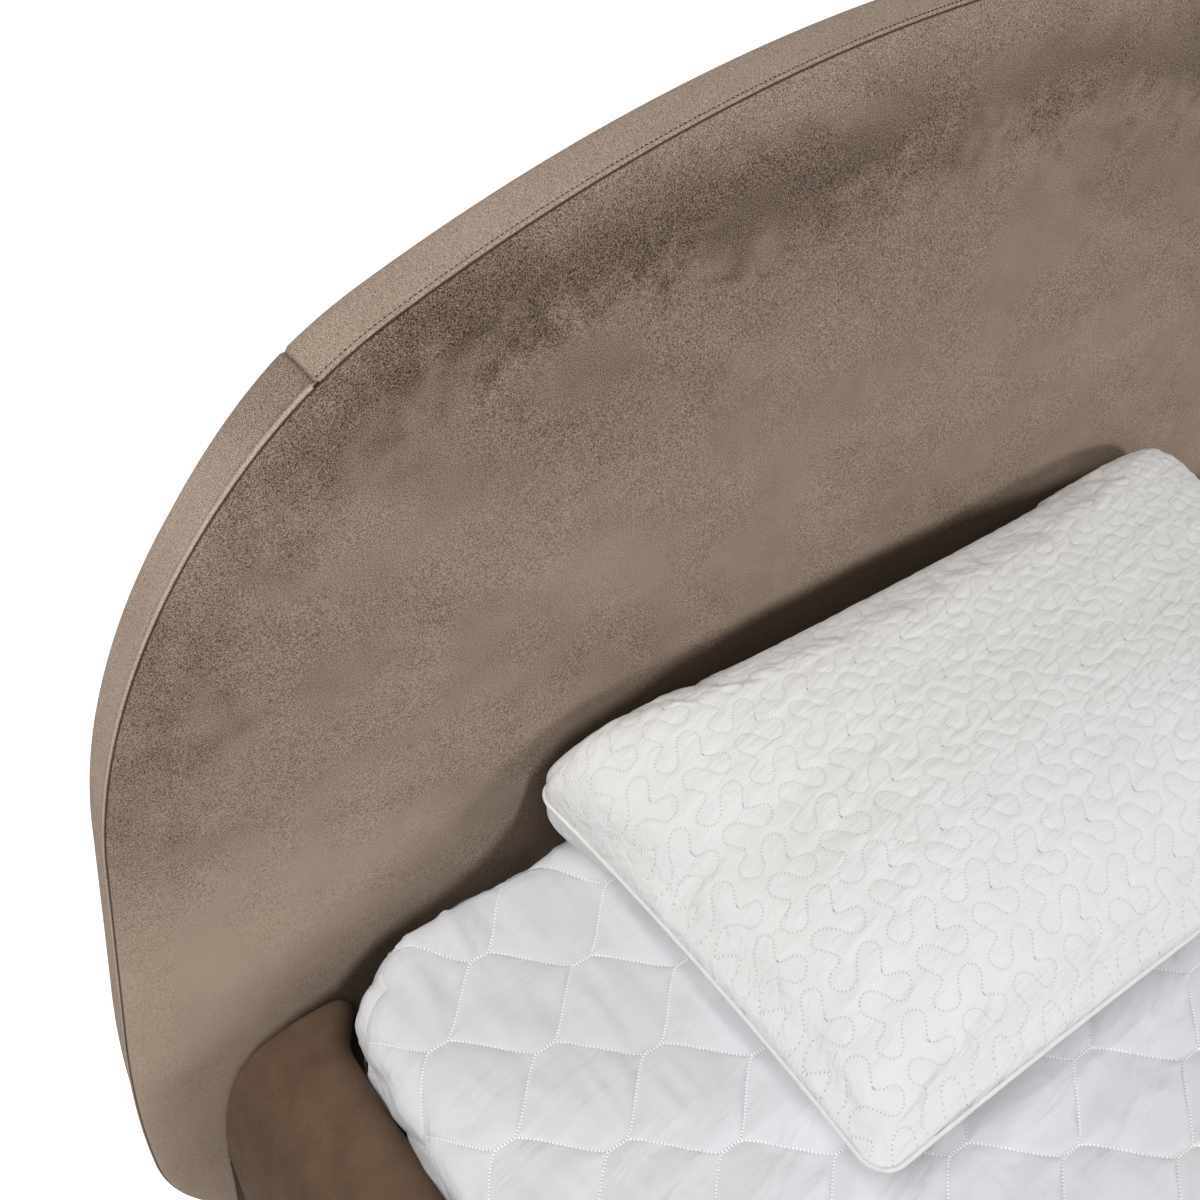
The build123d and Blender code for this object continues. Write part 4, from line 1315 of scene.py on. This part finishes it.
# %% Two faces joined at the seam
pillow = joined("pillow_cloth", [lay_cloth("pillow_cloth", 300, 160, pillow_rule(True)),
                                 lay_cloth("pillow_underside", 300, 160, pillow_rule(False))])
dress(pillow, pillow_cotton, "pillow", "pillow_cotton", "pillow", fill=0.6)

# %% [markdown]
# ## The pillow's piping
# A thin cord of the same cotton is sewn into the seam. It is a grid rolled into a tube and
# laid along the pillow's edge, joined end to end.

# %% Piping
piping_radius, stand_off, cord_girth = 2.2 * mm, 0.6 * mm, 14 * mm
there, across = np.linspace(0, 1, 300, endpoint=False), np.linspace(0, 1, 160, endpoint=False)
edge_u = np.concatenate([there, 1 + 0 * across, 1 - there, 0 * across])
edge_v = np.concatenate([0 * there, across, 1 + 0 * there, 1 - across])
pillow_edge = pillow_plan(edge_u, edge_v) + pillow_middle
piping_path = Path(np.vstack([pillow_edge, pillow_edge[:1]]))


def lay_piping(u, v):
    """The rule for the piping: u goes round the pillow and v round the cord."""
    along = u * piping_path.length
    rim = piping_path.place(along)
    side = -piping_path.outward(along)
    angle = v * 2 * math.pi
    out = stand_off + piping_radius * np.cos(angle)
    z = seam_height(rim - pillow_middle) + piping_radius * np.sin(angle)
    place = np.column_stack([rim + side * out[:, None], z])
    return place, np.column_stack([along, v * cord_girth]), unstitched(u)


piping = lay_cloth("pillow_piping", 900, 8, lay_piping)
dress(piping, pillow_cotton, "pillow", "pillow_cotton", fill=1.0)

# %% [markdown]
# ## Light, floor and background
# The photograph is lit softly on pure white. A large lamp above the left side gives even
# shading, a smaller one beyond the foot end gives the pillow's firm shadow, which painted
# shadow on the front panel deepens, and the sky fills the shadows. The white comes from colour
# that only the camera and reflections see, so that the bed isn't flooded with light.

# %% Lamps
def soft_lamp(name, place, target, size, power):
    """A square lamp at a place, turned towards a target."""
    way = Vector(target) - Vector(place)
    bpy.ops.object.light_add(type="AREA", location=place, rotation=way.to_track_quat("-Z", "Y").to_euler())
    lamp = bpy.context.object
    lamp.name = name
    lamp.data.size = size
    lamp.data.energy = power
    print(name, "of", power, "watts")


soft_lamp("foot_end_lamp", (3.2, -3.6, 1.6), target=(-0.3, 0.9, 0.7), size=0.9, power=126)
soft_lamp("left_side_lamp", (-2.0, 0.2, 3.2), target=(-0.3, 0.4, 0.4), size=2.2, power=92)


# %% Sky, seen white by the camera
def seen_rays(tree):
    """1 for a ray from the camera, off a gloss or through glass, and 0 for one that only lights."""
    kinds = ("Is Camera Ray", "Is Glossy Ray", "Is Transmission Ray")
    rays = [Socket(tree).node("LightPath", {}, {}, output=kind) for kind in kinds]
    return rays[0] + rays[1] + rays[2]


world = bpy.data.worlds.new("studio")
bpy.context.scene.world = world
world.use_nodes = True
sky = world.node_tree.nodes["Background"]
sky_level = 0.15
strength = seen_rays(world.node_tree) * (1 - sky_level) + sky_level
world.node_tree.links.new(strength.socket, sky.inputs["Strength"])
sky.inputs["Color"].default_value = (1, 1, 1, 1)
print("the sky lights at", sky_level, "of the white that the camera sees")

# %% Floor
bpy.ops.object.select_all(action="DESELECT")
bpy.ops.mesh.primitive_plane_add(size=60, location=(0, 0, 0))
floor = bpy.context.object
floor.name = "floor"
floor_finish, floor_place, floor_shader = new_finish("white_floor")
floor_seen = seen_rays(floor_finish.node_tree)
far_off = floor_place.node("VectorMath", {"operation": "LENGTH"}, {0: floor_place}, output=1)
white = mix(rise(far_off, 1.5, 9.0), (0.72, 0.72, 0.72, 1), (1, 1, 1, 1))
settle(floor_shader, Base_Color=(0.85, 0.85, 0.85, 1), Roughness=0.9, Emission_Strength=1.0,
       Emission_Color=mix(floor_seen, (0, 0, 0, 1), white))
floor.data.materials.append(floor_finish)
